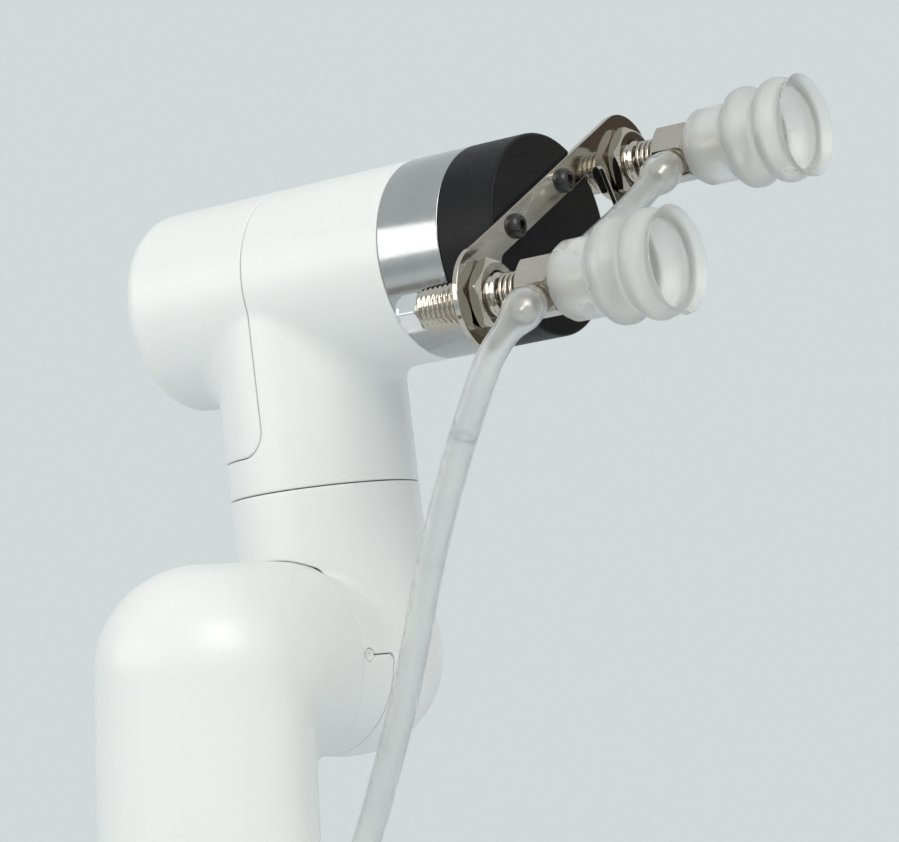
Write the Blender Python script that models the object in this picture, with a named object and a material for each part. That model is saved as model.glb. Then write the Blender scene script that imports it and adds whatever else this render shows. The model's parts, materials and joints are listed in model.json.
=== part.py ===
"""Desktop robot arm with a two-cup vacuum gripper.

Six turning joints carry white tube housings. Each joint has a motor and a gearbox in one link, and the
gearbox drives an output flange in the next. The gripper has two spring-buffered suction cups.
Units are metres. Links are modelled in their own joint frames and placed by parenting to empties.
"""

from math import acos, asin, cos, degrees, pi, radians, sin

import bmesh
import bpy
from mathutils import Matrix, Vector
from mathutils.geometry import tessellate_polygon

MM = 0.001
GAP = 0.3 * MM
HALF_GAP = GAP / 2
MERGE = 0.001 * MM
SEGMENTS = 24

# Stored pose of the arm
FOREARM_LEAN = radians(1.5)
WRIST_PITCH = radians(6.5)
WRIST_TURN = radians(5.0)
GRIPPER_ROLL = radians(27.7)

# Base
PLATE_RADIUS = 78 * MM
PLATE_THICKNESS = 8 * MM
BOLT_CIRCLE_RADIUS = 71 * MM
BOLT_HOLE_RADIUS = 3.3 * MM
BASE_FLANGE_RADIUS = 64 * MM
BASE_FLANGE_TOP = 13 * MM
BASE_FOOT_RADIUS = 56 * MM
BASE_WAIST_RADIUS = 46 * MM
BASE_TOP_RADIUS = 44 * MM
BASE_HEIGHT = 95 * MM
BASE_WAIST_HEIGHT = 60 * MM
BASE_SCREW_CIRCLE = 60 * MM
BASE_SCREW_ANGLES = [radians(a) for a in (25, 155, 205, 335)]
BASE_SCREW_SHANK = 2.0 * MM
BASE_SCREW_HEAD = 3.4 * MM
BASE_SCREW_REAR = 1.5 * MM
BASE_SCREW_TOP = 17 * MM
BASE_WALL = 3 * MM
BOARD_HALF_SIZE = (34 * MM, 26 * MM)
BOARD_HOLE_PLACE = (30 * MM, 22 * MM)
BOARD_HOLE_RADIUS = 1.6 * MM
BOARD_LOW = 11 * MM
BOARD_THICKNESS = 1.6 * MM
PANEL_HALF_WIDTH = 26 * MM
PANEL_LOW = 16 * MM
PANEL_HIGH = 44 * MM
PANEL_INNER_Y = 44 * MM
PANEL_OUTER_Y = 58 * MM
SOCKET_DEPTH = 3.5 * MM
SOCKET_RECESS = 0.2 * MM
INLET_X = -11 * MM
INLET_RADIUS = 5.5 * MM
INLET_BORE = 3.2 * MM
PORT_X = 11 * MM
PORT_HALF_SIZE = (7.5 * MM, 4.5 * MM)
PORT_WALL = 1.5 * MM
POCKET_CLEARANCE = 0.5 * MM

# Shoulder, upper arm and forearm
SHOULDER_HEIGHT = 160 * MM
SHOULDER_RADIUS = 38 * MM
SHOULDER_FOOT_RADIUS = 42 * MM
ELBOW_SEAM_X = 42 * MM
UPPER_ARM_X = 80 * MM
UPPER_ARM_RADIUS = 33 * MM
UPPER_ARM_WAIST = 31 * MM
UPPER_ARM_LENGTH = 150 * MM
FOREARM_FOOT_RADIUS = 30 * MM
FOREARM_RADIUS = 28.4 * MM
FOREARM_LENGTH = 135 * MM
WRIST_AXIS_X = 55.2 * MM
WRIST_SEAM_X = 33.45 * MM
WRIST_STUB_RADIUS = 26.6 * MM
CORNER_FILLET = 3 * MM
SHELL_WALL = 3 * MM

# Wrist 1: the joint-4 stub, its half collar and the upright tube
WRIST_TUBE_RADIUS = 25.75 * MM
WRIST_TUBE_BORE = 20.75 * MM
OVERHANG_HEIGHT = 27.6 * MM
COLLAR_END_X = 45.5 * MM
COLLAR_BORE = 23.6 * MM
COLLAR_RISE = -1.2 * MM
COLLAR_SCREW_X = 36.2 * MM
COLLAR_SCREW_HEAD = 1.7 * MM
COLLAR_SCREW_SHANK = 0.9 * MM
COLLAR_SCREW_REAR = 21.5 * MM
COLLAR_SCREW_SEAT = 24 * MM
COLLAR_SCREW_FRONT = 25.4 * MM
TUBE_SEAM_HEIGHT = 45 * MM

# Wrist 2: the T-shaped housing
TEE_HEIGHT = 101.7 * MM
TEE_RADIUS = 27 * MM
TEE_REAR = 42.6 * MM
TEE_FRONT = 45.5 * MM
TEE_EDGE = 6 * MM
TEE_WALL = 3.5 * MM
COVER_LOW = 55.3 * MM

# Drives: gearbox radius, motor end, gearbox face, flange radius and flange end, in millimetres
# along the joint axis from the joint's own origin
DRIVES = {
    "j1": (34, -75, -15.5, 33, 17),
    "j2": (31, -13, 37, 28, 56),
    "j3": (26, 88, 44.3, 24, 26),
    "j4": (22, -10, 31, 20, 35.3),
    "j5": (19.5, -5, 42, 19, 52),
    "j6": (22, -34, 40, 19.7, 63.9),
}
MOTOR_SHARE = 0.55
MOTOR_STEP = 1.5 * MM

# Tool flange and bracket, as distances along the joint-6 axis
RING_FRONT = 64.9 * MM
RING_BORE = 20 * MM
ADAPTOR_FRONT = 82.2 * MM
ADAPTOR_CHAMFER = 1 * MM
BRACKET_REAR = ADAPTOR_FRONT + GAP
BRACKET_THICKNESS = 1.5 * MM
BRACKET_FRONT = BRACKET_REAR + BRACKET_THICKNESS
EAR_RADIUS = 14 * MM
BRACKET_MIDDLE = 2 * MM
EAR_OFFSET = 42 * MM
EAR_INNER = 31 * MM
STRIP_LOW = 6 * MM
NOTCH_FILLET = 3 * MM
EAR_HOLE_RADIUS = 6.3 * MM
BRACKET_SCREWS = (-16.5 * MM, 12.5 * MM)
BRACKET_SCREW_HEIGHT = 9.5 * MM
SCREW_SHANK_RADIUS = 1.5 * MM
SCREW_HEAD_RADIUS = 3.3 * MM
SCREW_HEAD_HEIGHT = 2.2 * MM
SCREW_HEAD_CROWN = 1.4 * MM
SCREW_DEPTH = 8 * MM

# Suction holders
SLEEVE_RADIUS = 6 * MM
SLEEVE_BORE = 3.3 * MM
SLEEVE_REAR = 65.3 * MM
SLEEVE_FRONT = 89.3 * MM
CLAMP_NUT_FLATS = 18 * MM
CLAMP_NUT_HEIGHT = 3.6 * MM
ROD_RADIUS = 3 * MM
ROD_REAR = 56.8 * MM
LOCK_NUT_REAR = 57.4 * MM
LOCK_NUT_FLATS = 10 * MM
SPRING_WIRE = 0.6 * MM
SPRING_RADIUS = 4.9 * MM
SPRING_TURNS = 2.5
SPRING_STEPS = 14
BUFFER_STROKE = 4 * MM
FITTING_REAR = 96.6 * MM
FITTING_FRONT = 106.9 * MM
FITTING_FLATS = 14.5 * MM
FITTING_MIDDLE = (FITTING_REAR + FITTING_FRONT) / 2
FITTING_OVERLAP = 2 * MM
NIPPLE_RADIUS = 3.6 * MM
NIPPLE_FRONT = 117 * MM
BARB_COLLAR_RADIUS = 4.1 * MM
BARB_COLLAR_CONE = 1.2 * MM
BARB_COLLAR_START = 6 * MM
BARB_COLLAR_END = 8.6 * MM
BARB_RADIUS = 2.1 * MM
BARB_STEP = 0.3 * MM
BARB_TIP_LENGTH = 4 * MM
BARB_TIP_RADIUS = 1.5 * MM
BARB_END = 15 * MM
CUP_REAR = FITTING_FRONT + 0.4 * MM
CUP_COLLAR_RADIUS = 10.3 * MM
CUP_COLLAR_CHAMFER = 1.6 * MM
CUP_FLOOR_DEPTH = 10.7 * MM
# Bellows walls as (radius, depth from the cup's rear) in millimetres: outside towards the lip,
# then inside back from it
CUP_OUTSIDE = ((10.3, 11.7), (11.2, 13.1), (13.55, 16.3), (12.6, 19.3), (10.8, 21.3), (12.6, 23.1),
               (14.1, 26.2), (13.4, 28.9), (12.3, 30.3), (13.75, 33.1))
CUP_INSIDE = ((13.1, 33.1), (10.9, 30.3), (12.2, 26.2), (10.9, 24.1), (9.2, 21.3), (10.9, 18.5),
              (11.7, 16.3), (8.8, 12.7), (8.8, 12.3))
HOSE_RADIUS = 3.6 * MM
HOSE_BORE = 2.5 * MM
HOSE_START = 9.0 * MM
LINK_HOSE_SAG = 1.0 * MM
# Points that the supply hose passes, from the joint-4 and joint-5 crossing, in millimetres
SUPPLY_HOSE_POINTS = ((-46, -90, 80), (-46, -84, 68), (-44, -75, 50), (-42, -66, 28), (-40, -56, -4),
                      (-40, -46.5, -32), (-40, -41, -46))

AXIS_X = Vector((1, 0, 0))
AXIS_Y = Vector((0, 1, 0))
AXIS_Z = Vector((0, 0, 1))
ORIGIN = Vector((0, 0, 0))

FINISHES = {
    "white_plastic": ((0.86, 0.87, 0.86), 0.35, 0.0),
    "grey_metal": ((0.52, 0.54, 0.55), 0.35, 0.9),
    "black_plastic": ((0.02, 0.02, 0.022), 0.6, 0.0),
    "polished_steel": ((0.62, 0.6, 0.57), 0.1, 1.0),
    "nickel": ((0.66, 0.62, 0.56), 0.2, 1.0),
    "black_steel": ((0.03, 0.03, 0.03), 0.35, 0.8),
    "silicone": ((0.82, 0.83, 0.8), 0.4, 0.0),
    "aluminium": ((0.6, 0.61, 0.62), 0.4, 0.9),
    "circuit_board": ((0.05, 0.22, 0.12), 0.5, 0.0),
}


# ---------------------------------------------------------------- scene helpers

def clear_scene():
    """Remove every object that the file starts with."""
    for item in list(bpy.data.objects):
        bpy.data.objects.remove(item, do_unlink=True)


def finish_material(name):
    """One Principled material for each finish."""
    found = bpy.data.materials.get(name)
    if found:
        return found
    colour, roughness, metallic = FINISHES[name]
    made = bpy.data.materials.new(name)
    made.use_nodes = True
    shader = made.node_tree.nodes["Principled BSDF"]
    shader.inputs["Base Color"].default_value = (*colour, 1)
    shader.inputs["Roughness"].default_value = roughness
    shader.inputs["Metallic"].default_value = metallic
    return made


def frame(name, parent, place=ORIGIN, turn=(0, 0, 0)):
    """An empty that stands for a joint's frame."""
    empty = bpy.data.objects.new(name, None)
    bpy.context.collection.objects.link(empty)
    empty.parent = parent
    empty.location = place
    empty.rotation_euler = turn
    return empty


def solid(name, bm, finish, parent):
    """Turn a bmesh into a named, smooth-shaded object in its parent's frame."""
    bmesh.ops.remove_doubles(bm, verts=bm.verts, dist=MERGE)
    bmesh.ops.recalc_face_normals(bm, faces=bm.faces)
    mesh = bpy.data.meshes.new(name)
    bm.to_mesh(mesh)
    bm.free()
    mesh.shade_smooth()
    mesh.set_sharp_from_angle(angle=radians(35))
    mesh.materials.append(finish_material(finish))
    made = bpy.data.objects.new(name, mesh)
    bpy.context.collection.objects.link(made)
    made.parent = parent
    return made


def combine(target, other, operation):
    """Boolean of target with other, which becomes a hidden wire cutter."""
    other.hide_render = True
    other.display_type = "WIRE"
    step = target.modifiers.new(operation.lower(), "BOOLEAN")
    step.operation = operation
    step.solver = "EXACT"
    step.object = other


# ---------------------------------------------------------------- shape helpers

def skin(bm, rows, closed=False):
    """Faces between neighbouring rows of vertices that each run round in a loop."""
    count = len(rows[0])
    pairs = list(zip(rows, rows[1:]))
    if closed:
        pairs.append((rows[-1], rows[0]))
    for low, high in pairs:
        for k in range(count):
            following = (k + 1) % count
            bm.faces.new((low[k], low[following], high[following], high[k]))


def ring(centre, side, across, radius, count=SEGMENTS):
    """Points of a circle that starts on the side direction and turns towards across."""
    turns = [2 * pi * k / count for k in range(count)]
    return [centre + side * radius * cos(a) + across * radius * sin(a) for a in turns]


def corner_rings(centre, first, second, radius, steps):
    """Rings round a right-angled corner: a ball outside and a small fillet inside."""
    rings = []
    for step in range(steps + 1):
        bend = pi / 2 * step / steps
        loop = []
        for k in range(SEGMENTS):
            angle = 2 * pi * k / SEGMENTS
            inward = radius * cos(angle)
            curl = max(0.0, CORNER_FILLET * cos(angle))
            if inward > 0:
                along = inward + curl * (1 - sin(bend))
                beside = inward + curl * (1 - cos(bend))
            else:
                along = inward * sin(bend)
                beside = inward * cos(bend)
            across = AXIS_Y * radius * sin(angle)
            loop.append(centre + first * along + second * beside + across)
        rings.append(loop)
    return rings


def tube_shell(name, outer, inner, finish, parent):
    """A hollow tube, open at both ends, from matching outer and inner rings."""
    bm = bmesh.new()
    outer_rows = [[bm.verts.new(p) for p in loop] for loop in outer]
    inner_rows = [[bm.verts.new(p) for p in loop] for loop in inner]
    skin(bm, outer_rows)
    skin(bm, inner_rows)
    skin(bm, [outer_rows[0], inner_rows[0]])
    skin(bm, [outer_rows[-1], inner_rows[-1]])
    return solid(name, bm, finish, parent)


def turned(name, profile, finish, parent, count=SEGMENTS, place=None):
    """A solid of revolution about Z from a closed (radius, height) profile."""
    bm = bmesh.new()
    place = place or Matrix.Identity(4)
    rows = []
    for radius, height in profile:
        loop = ring(AXIS_Z * height, AXIS_X, AXIS_Y, radius, count)
        rows.append([bm.verts.new(place @ p) for p in loop])
    skin(bm, rows, closed=True)
    bmesh.ops.dissolve_degenerate(bm, dist=MERGE, edges=bm.edges)
    return solid(name, bm, finish, parent)


def cylinder(name, radius, low, high, finish, parent, place=None, count=SEGMENTS):
    """A solid cylinder about Z between two heights."""
    bm = bmesh.new()
    place = place or Matrix.Identity(4)
    rows = []
    for height in (low, high):
        loop = ring(AXIS_Z * height, AXIS_X, AXIS_Y, radius, count)
        rows.append([bm.verts.new(place @ p) for p in loop])
    skin(bm, rows)
    for row in rows:
        bm.faces.new(row)
    return solid(name, bm, finish, parent)


def sleeve(name, radius, bore, low, high, finish, parent, place=None, count=SEGMENTS):
    """A plain ring or bush about Z."""
    profile = [(radius, low), (radius, high), (bore, high), (bore, low)]
    return turned(name, profile, finish, parent, count, place)


def screw_profile(shank, head, rear, seat, front, grow=0.0):
    """Profile of a headed screw: a shank from rear to seat and a head from seat to front."""
    return [
        (0, rear - grow),
        (shank + grow, rear - grow),
        (shank + grow, seat - grow),
        (head + grow, seat - grow),
        (head + grow, front),
        (0, front),
    ]


def block(name, low, high, finish, parent):
    """A box between two corners."""
    bm = bmesh.new()
    size = Vector(high) - Vector(low)
    middle = (Vector(high) + Vector(low)) / 2
    bmesh.ops.create_cube(bm, size=1)
    bmesh.ops.scale(bm, vec=size, verts=bm.verts)
    bmesh.ops.translate(bm, vec=middle, verts=bm.verts)
    return solid(name, bm, finish, parent)


def circle_outline(x, y, radius, count, start=0.0):
    """Points of a circle in the XY plane."""
    turns = [start + 2 * pi * k / count for k in range(count)]
    return [(x + radius * cos(a), y + radius * sin(a)) for a in turns]


def rectangle(x, half_width, half_height):
    """Outline of a rectangle centred at (x, 0)."""
    return [(x - half_width, -half_height), (x + half_width, -half_height),
            (x + half_width, half_height), (x - half_width, half_height)]


def arc_outline(x, y, radius, start, end, steps):
    """Points along an arc in the XY plane, both ends included; angles in degrees."""
    turns = [radians(start + (end - start) * k / steps) for k in range(steps + 1)]
    return [(x + radius * cos(a), y + radius * sin(a)) for a in turns]


def plate(name, outlines, low, high, finish, parent, place=None):
    """An extruded outline; the first loop is the outside and the others are holes."""
    bm = bmesh.new()
    place = place or Matrix.Identity(4)
    loops = [[Vector((x, y, 0)) for x, y in outline] for outline in outlines]
    triangles = tessellate_polygon(loops)
    bottom = [[bm.verts.new(place @ (p + AXIS_Z * low)) for p in loop] for loop in loops]
    top = [[bm.verts.new(place @ (p + AXIS_Z * high)) for p in loop] for loop in loops]
    for rows in (bottom, top):
        flat = [vertex for loop in rows for vertex in loop]
        for corners in triangles:
            bm.faces.new([flat[k] for k in corners])
    for low_loop, high_loop in zip(bottom, top):
        skin(bm, [low_loop, high_loop])
    return solid(name, bm, finish, parent)


def hexagon(flats):
    """Outline of a hexagon from its width across flats."""
    return circle_outline(0, 0, flats / 2 / cos(pi / 6), 6, pi / 6)


def smooth_path(points, steps):
    """Catmull-Rom curve through the points, with even steps between each pair."""
    ends = [points[0] * 2 - points[1]] + points + [points[-1] * 2 - points[-2]]
    path = []
    for before, start, end, after in zip(ends, ends[1:], ends[2:], ends[3:]):
        for step in range(steps):
            t = step / steps
            path.append(0.5 * (2 * start + (end - before) * t
                               + (2 * before - 5 * start + 4 * end - after) * t * t
                               + (3 * start - before - 3 * end + after) * t ** 3))
    path.append(points[-1])
    return path


def path_rings(path, radius, count):
    """Rings square to a path, carried along it without twist."""
    side = (path[1] - path[0]).orthogonal().normalized()
    rings = []
    for k, point in enumerate(path):
        ahead = path[min(k + 1, len(path) - 1)]
        behind = path[max(k - 1, 0)]
        tangent = (ahead - behind).normalized()
        side = (side - tangent * side.dot(tangent)).normalized()
        rings.append(ring(point, side, tangent.cross(side), radius, count))
    return rings


# Local axes laid along other directions: Z onto +X, and Z onto -Y
ALONG_X = Matrix.Rotation(pi / 2, 4, "Y")
ALONG_FRONT = Matrix.Rotation(pi / 2, 4, "X")


# ---------------------------------------------------------------- drives

def drive_unit(joint, holder, driven, lay, driven_lay):
    """Motor and gearbox in the holding link, and the output flange in the driven link."""
    radius, motor_end, face, flange_radius, flange_end = [size * MM for size in DRIVES[joint]]
    side = 1 if face > motor_end else -1
    split = motor_end + MOTOR_SHARE * (face - motor_end)
    place = Matrix.Translation(driven.location) @ lay
    cylinder(joint + "_motor", radius - MOTOR_STEP, motor_end, split - side * HALF_GAP, "aluminium",
             holder, place)
    cylinder(joint + "_gearbox", radius, split + side * HALF_GAP, face, "aluminium", holder, place)
    cylinder(joint + "_output_flange", flange_radius, face + side * GAP, flange_end, "aluminium",
             driven, driven_lay)


# ---------------------------------------------------------------- base

def build_base(base):
    """Bolted base plate, flared housing, its screws, connector panel and control board."""
    bolts = [(cos(a) * BOLT_CIRCLE_RADIUS, sin(a) * BOLT_CIRCLE_RADIUS)
             for a in (radians(45 + 90 * quarter) for quarter in range(4))]
    screws = [(cos(a) * BASE_SCREW_CIRCLE, sin(a) * BASE_SCREW_CIRCLE) for a in BASE_SCREW_ANGLES]
    holes = [circle_outline(x, y, BOLT_HOLE_RADIUS, 12) for x, y in bolts]
    holes += [circle_outline(x, y, BASE_SCREW_SHANK + GAP, 12) for x, y in screws]
    outline = circle_outline(0, 0, PLATE_RADIUS, 36)
    plate("base_plate", [outline] + holes, 0, PLATE_THICKNESS, "aluminium", base)

    profile = [
        (BASE_FLANGE_RADIUS, PLATE_THICKNESS + GAP),
        (BASE_FLANGE_RADIUS, BASE_FLANGE_TOP),
        (BASE_FOOT_RADIUS, BASE_FLANGE_TOP),
        (BASE_WAIST_RADIUS, BASE_WAIST_HEIGHT),
        (BASE_TOP_RADIUS, BASE_HEIGHT - GAP),
        (BASE_TOP_RADIUS - BASE_WALL, BASE_HEIGHT - GAP),
        (BASE_WAIST_RADIUS - BASE_WALL, BASE_WAIST_HEIGHT),
        (BASE_FOOT_RADIUS - BASE_WALL, PLATE_THICKNESS + GAP),
    ]
    housing = turned("base_housing", profile, "white_plastic", base)
    cutter_reach = 10 * MM
    window = block(
        "panel_window",
        (-PANEL_HALF_WIDTH - GAP, PANEL_INNER_Y - cutter_reach, PANEL_LOW - GAP),
        (PANEL_HALF_WIDTH + GAP, PANEL_OUTER_Y + cutter_reach, PANEL_HIGH + GAP),
        "white_plastic", base)
    combine(housing, window, "DIFFERENCE")
    for k, (x, y) in enumerate(screws):
        build_base_screw(k + 1, x, y, housing, base)
    build_panel(base)
    build_board(base)


def build_base_screw(number, x, y, housing, base):
    """Cap screw that goes down through the housing's flange into the base plate."""
    place = Matrix.Translation((x, y, 0))
    seat = BASE_FLANGE_TOP + GAP
    profile = screw_profile(BASE_SCREW_SHANK, BASE_SCREW_HEAD, BASE_SCREW_REAR, seat, BASE_SCREW_TOP)
    turned("base_screw_%d" % number, profile, "black_steel", base, 12, place)
    hole = cylinder("base_screw_hole_%d" % number, BASE_SCREW_SHANK + GAP, 0, BASE_SCREW_TOP,
                    "white_plastic", base, place, 12)
    combine(housing, hole, "DIFFERENCE")


def build_board(base):
    """Control board with four mounting holes."""
    half_x, half_y = BOARD_HALF_SIZE
    hole_x, hole_y = BOARD_HOLE_PLACE
    holes = [circle_outline(side * hole_x, end * hole_y, BOARD_HOLE_RADIUS, 8)
             for side in (-1, 1) for end in (-1, 1)]
    plate("control_board", [rectangle(0, half_x, half_y)] + holes, BOARD_LOW,
          BOARD_LOW + BOARD_THICKNESS, "circuit_board", base)


def build_panel(base):
    """Rear connector panel with a round power inlet and a rectangular signal port."""
    pocket_floor = PANEL_OUTER_Y - SOCKET_DEPTH
    pocket_end = PANEL_OUTER_Y + SOCKET_DEPTH
    face = PANEL_OUTER_Y - SOCKET_RECESS
    middle = (PANEL_LOW + PANEL_HIGH) / 2
    facing_back = Matrix.Translation((0, 0, middle)) @ Matrix.Rotation(-pi / 2, 4, "X")
    at_inlet = facing_back @ Matrix.Translation((INLET_X, 0, 0))
    panel = block("connector_panel", (-PANEL_HALF_WIDTH, PANEL_INNER_Y, PANEL_LOW),
                  (PANEL_HALF_WIDTH, PANEL_OUTER_Y, PANEL_HIGH), "black_plastic", base)
    inlet_pocket = cylinder("inlet_pocket", INLET_RADIUS + POCKET_CLEARANCE, pocket_floor, pocket_end,
                            "black_plastic", base, at_inlet, 16)
    half_x, half_y = PORT_HALF_SIZE
    pocket = rectangle(PORT_X, half_x + POCKET_CLEARANCE, half_y + POCKET_CLEARANCE)
    port_pocket = plate("port_pocket", [pocket], pocket_floor, pocket_end, "black_plastic", base,
                        facing_back)
    combine(panel, inlet_pocket, "DIFFERENCE")
    combine(panel, port_pocket, "DIFFERENCE")
    sleeve("power_inlet", INLET_RADIUS, INLET_BORE, pocket_floor + GAP, face, "grey_metal", base,
           at_inlet, 16)
    mouth = rectangle(PORT_X, half_x - PORT_WALL, half_y - PORT_WALL)
    plate("signal_port", [rectangle(PORT_X, half_x, half_y), mouth], pocket_floor + GAP, face,
          "grey_metal", base, facing_back)


# ---------------------------------------------------------------- shoulder and upper arm

def column_rings(inset, steps, centre, foot_radius, top_radius, stub_x):
    """Rings of a tube that comes up from below and turns off along +X."""
    rings = [ring(Vector((0, 0, HALF_GAP)), AXIS_X, AXIS_Y, foot_radius - inset)]
    rings += corner_rings(centre, -AXIS_Z, AXIS_X, top_radius - inset, steps)
    rings.append(ring(Vector((stub_x, 0, centre.z)), -AXIS_Z, AXIS_Y, top_radius - inset))
    return rings


def build_shoulder(shoulder):
    """Shoulder housing that turns the vertical column into the joint-2 axis."""
    height = SHOULDER_HEIGHT - BASE_HEIGHT
    centre = Vector((0, 0, height))
    shells = [column_rings(inset, steps, centre, SHOULDER_FOOT_RADIUS, SHOULDER_RADIUS,
                           ELBOW_SEAM_X - HALF_GAP)
              for inset, steps in ((0, 5), (SHELL_WALL, 4))]
    tube_shell("shoulder_housing", shells[0], shells[1], "white_plastic", shoulder)


def link_rings(inset, steps, low, high, toward, low_stub, high_stub, foot, top, stub):
    """Rings of a C-shaped tube: lower stub, corner, straight tube, corner, upper stub."""
    rings = [ring(low_stub, AXIS_Z, AXIS_Y, foot - inset)]
    rings += corner_rings(low, toward, AXIS_Z, foot - inset, steps)
    rings += corner_rings(high, -AXIS_Z, toward, top - inset, steps)
    rings.append(ring(high_stub, -AXIS_Z, AXIS_Y, stub - inset))
    return rings


def build_upper_arm(arm):
    """Upper arm: a C-shaped tube beside the shoulder and the forearm."""
    stub_x = ELBOW_SEAM_X + HALF_GAP
    low = Vector((UPPER_ARM_X, 0, 0))
    high = Vector((UPPER_ARM_X, 0, UPPER_ARM_LENGTH))
    shells = []
    for inset, steps in ((0, 5), (SHELL_WALL, 4)):
        shells.append(link_rings(inset, steps, low, high, -AXIS_X, Vector((stub_x, 0, 0)),
                                 Vector((stub_x, 0, UPPER_ARM_LENGTH)), UPPER_ARM_RADIUS,
                                 UPPER_ARM_WAIST, UPPER_ARM_WAIST))
    tube_shell("upper_arm_housing", shells[0], shells[1], "white_plastic", arm)


# ---------------------------------------------------------------- forearm

def build_forearm(forearm):
    """Forearm: a C-shaped tube with the joint-3 stub below and the joint-4 stub above."""
    high = Vector((0, 0, FOREARM_LENGTH))
    shells = []
    for inset, steps in ((0, 6), (SHELL_WALL, 4)):
        shells.append(link_rings(inset, steps, ORIGIN, high, AXIS_X,
                                 Vector((ELBOW_SEAM_X - HALF_GAP, 0, 0)),
                                 Vector((WRIST_SEAM_X - HALF_GAP, 0, FOREARM_LENGTH)),
                                 FOREARM_FOOT_RADIUS, FOREARM_RADIUS, WRIST_STUB_RADIUS))
    tube_shell("forearm_housing", shells[0], shells[1], "white_plastic", forearm)


# ---------------------------------------------------------------- wrist 1

def build_wrist_1(wrist):
    """Joint-4 stub and upright tube in one housing, with a half collar and its screw."""
    centre = Vector((WRIST_AXIS_X, 0, 0))
    stub_end = WRIST_AXIS_X - WRIST_TUBE_RADIUS - CORNER_FILLET - 6 * MM
    shells = []
    for radius, steps in ((WRIST_TUBE_RADIUS, 6), (WRIST_TUBE_BORE, 4)):
        rings = [ring(Vector((WRIST_AXIS_X, 0, TUBE_SEAM_HEIGHT - HALF_GAP)), -AXIS_X, AXIS_Y, radius)]
        rings += corner_rings(centre, AXIS_Z, -AXIS_X, radius, steps)
        rings.append(ring(Vector((stub_end, 0, 0)), AXIS_Z, AXIS_Y, radius))
        shells.append(rings)
    housing = tube_shell("wrist_1_housing", shells[0], shells[1], "white_plastic", wrist)
    reach = 40 * MM
    face = block("stub_face", (0, -reach, -reach), (WRIST_SEAM_X + HALF_GAP, reach, OVERHANG_HEIGHT),
                 "white_plastic", wrist)
    combine(housing, face, "DIFFERENCE")
    seat = part_ring("collar_seat", COLLAR_BORE - GAP, reach, WRIST_SEAM_X - HALF_GAP,
                     COLLAR_END_X + GAP, COLLAR_RISE + GAP, wrist)
    combine(housing, seat, "DIFFERENCE")
    collar = part_ring("wrist_1_collar", COLLAR_BORE, WRIST_TUBE_RADIUS, WRIST_SEAM_X + HALF_GAP,
                       COLLAR_END_X, COLLAR_RISE, wrist)
    build_collar_screw(wrist, housing, collar)


def part_ring(name, bore, radius, low_x, high_x, rise, parent):
    """The part of a ring about X that lies below the height rise."""
    lift_out = degrees(asin(rise / radius))
    lift_in = degrees(asin(rise / bore))
    outside = arc_outline(0, 0, radius, -180 - lift_out, lift_out, 12)
    inside = arc_outline(0, 0, bore, lift_in, -180 - lift_in, 12)
    stand = Matrix(((0, 0, 1, 0), (1, 0, 0, 0), (0, 1, 0, 0), (0, 0, 0, 1)))
    return plate(name, [outside + inside], low_x, high_x, "white_plastic", parent, stand)


def build_collar_screw(wrist, housing, collar):
    """Screw on the collar's upper edge, its head half in the collar and half in the housing."""
    place = Matrix.Translation((COLLAR_SCREW_X, 0, COLLAR_RISE)) @ ALONG_FRONT
    sizes = (COLLAR_SCREW_SHANK, COLLAR_SCREW_HEAD, COLLAR_SCREW_REAR, COLLAR_SCREW_SEAT)
    turned("collar_screw", screw_profile(*sizes, COLLAR_SCREW_FRONT), "white_plastic", wrist, 12, place)
    pocket_profile = screw_profile(*sizes, COLLAR_SCREW_FRONT + COLLAR_SCREW_HEAD, GAP)
    pocket = turned("collar_screw_pocket", pocket_profile, "white_plastic", wrist, 12, place)
    combine(housing, pocket, "DIFFERENCE")
    combine(collar, pocket, "DIFFERENCE")


# ---------------------------------------------------------------- wrist 2

def tee_shell(name, parent):
    """The T-shaped shell of wrist 2 before it is split into housing and rear cover."""
    axis = Matrix.Translation((0, 0, TEE_HEIGHT)) @ ALONG_FRONT
    rounding = arc_outline(TEE_RADIUS - TEE_EDGE, TEE_EDGE - TEE_REAR, TEE_EDGE, -90, 0, 2)
    front = TEE_FRONT - HALF_GAP
    outside = [(0, -TEE_REAR)] + rounding + [(TEE_RADIUS, front), (0, front)]
    shell = turned(name, outside, "white_plastic", parent, 28, axis)
    stem = cylinder(name + "_stem", WRIST_TUBE_RADIUS, TUBE_SEAM_HEIGHT + HALF_GAP, TEE_HEIGHT,
                    "white_plastic", parent)
    bore = cylinder(name + "_bore", TEE_RADIUS - TEE_WALL, -TEE_REAR + TEE_WALL, TEE_FRONT + 5 * MM,
                    "white_plastic", parent, axis)
    stem_bore = cylinder(name + "_stem_bore", WRIST_TUBE_RADIUS - TEE_WALL, TUBE_SEAM_HEIGHT - 5 * MM,
                         TEE_HEIGHT, "white_plastic", parent)
    combine(shell, stem, "UNION")
    combine(shell, bore, "DIFFERENCE")
    combine(shell, stem_bore, "DIFFERENCE")
    return shell


def build_wrist_2(wrist):
    """T-shaped housing with a separate rear cover."""
    reach = 60 * MM
    top = TEE_HEIGHT + reach
    housing = tee_shell("wrist_2_housing", wrist)
    space = block("cover_space", (-reach, 0, COVER_LOW), (reach, reach, top), "white_plastic", wrist)
    combine(housing, space, "DIFFERENCE")
    cover = tee_shell("wrist_2_rear_cover", wrist)
    keep = block("cover_extent", (-reach, GAP, COVER_LOW + GAP), (reach, reach, top), "white_plastic", wrist)
    combine(cover, keep, "INTERSECT")


# ---------------------------------------------------------------- tool flange and bracket

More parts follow.
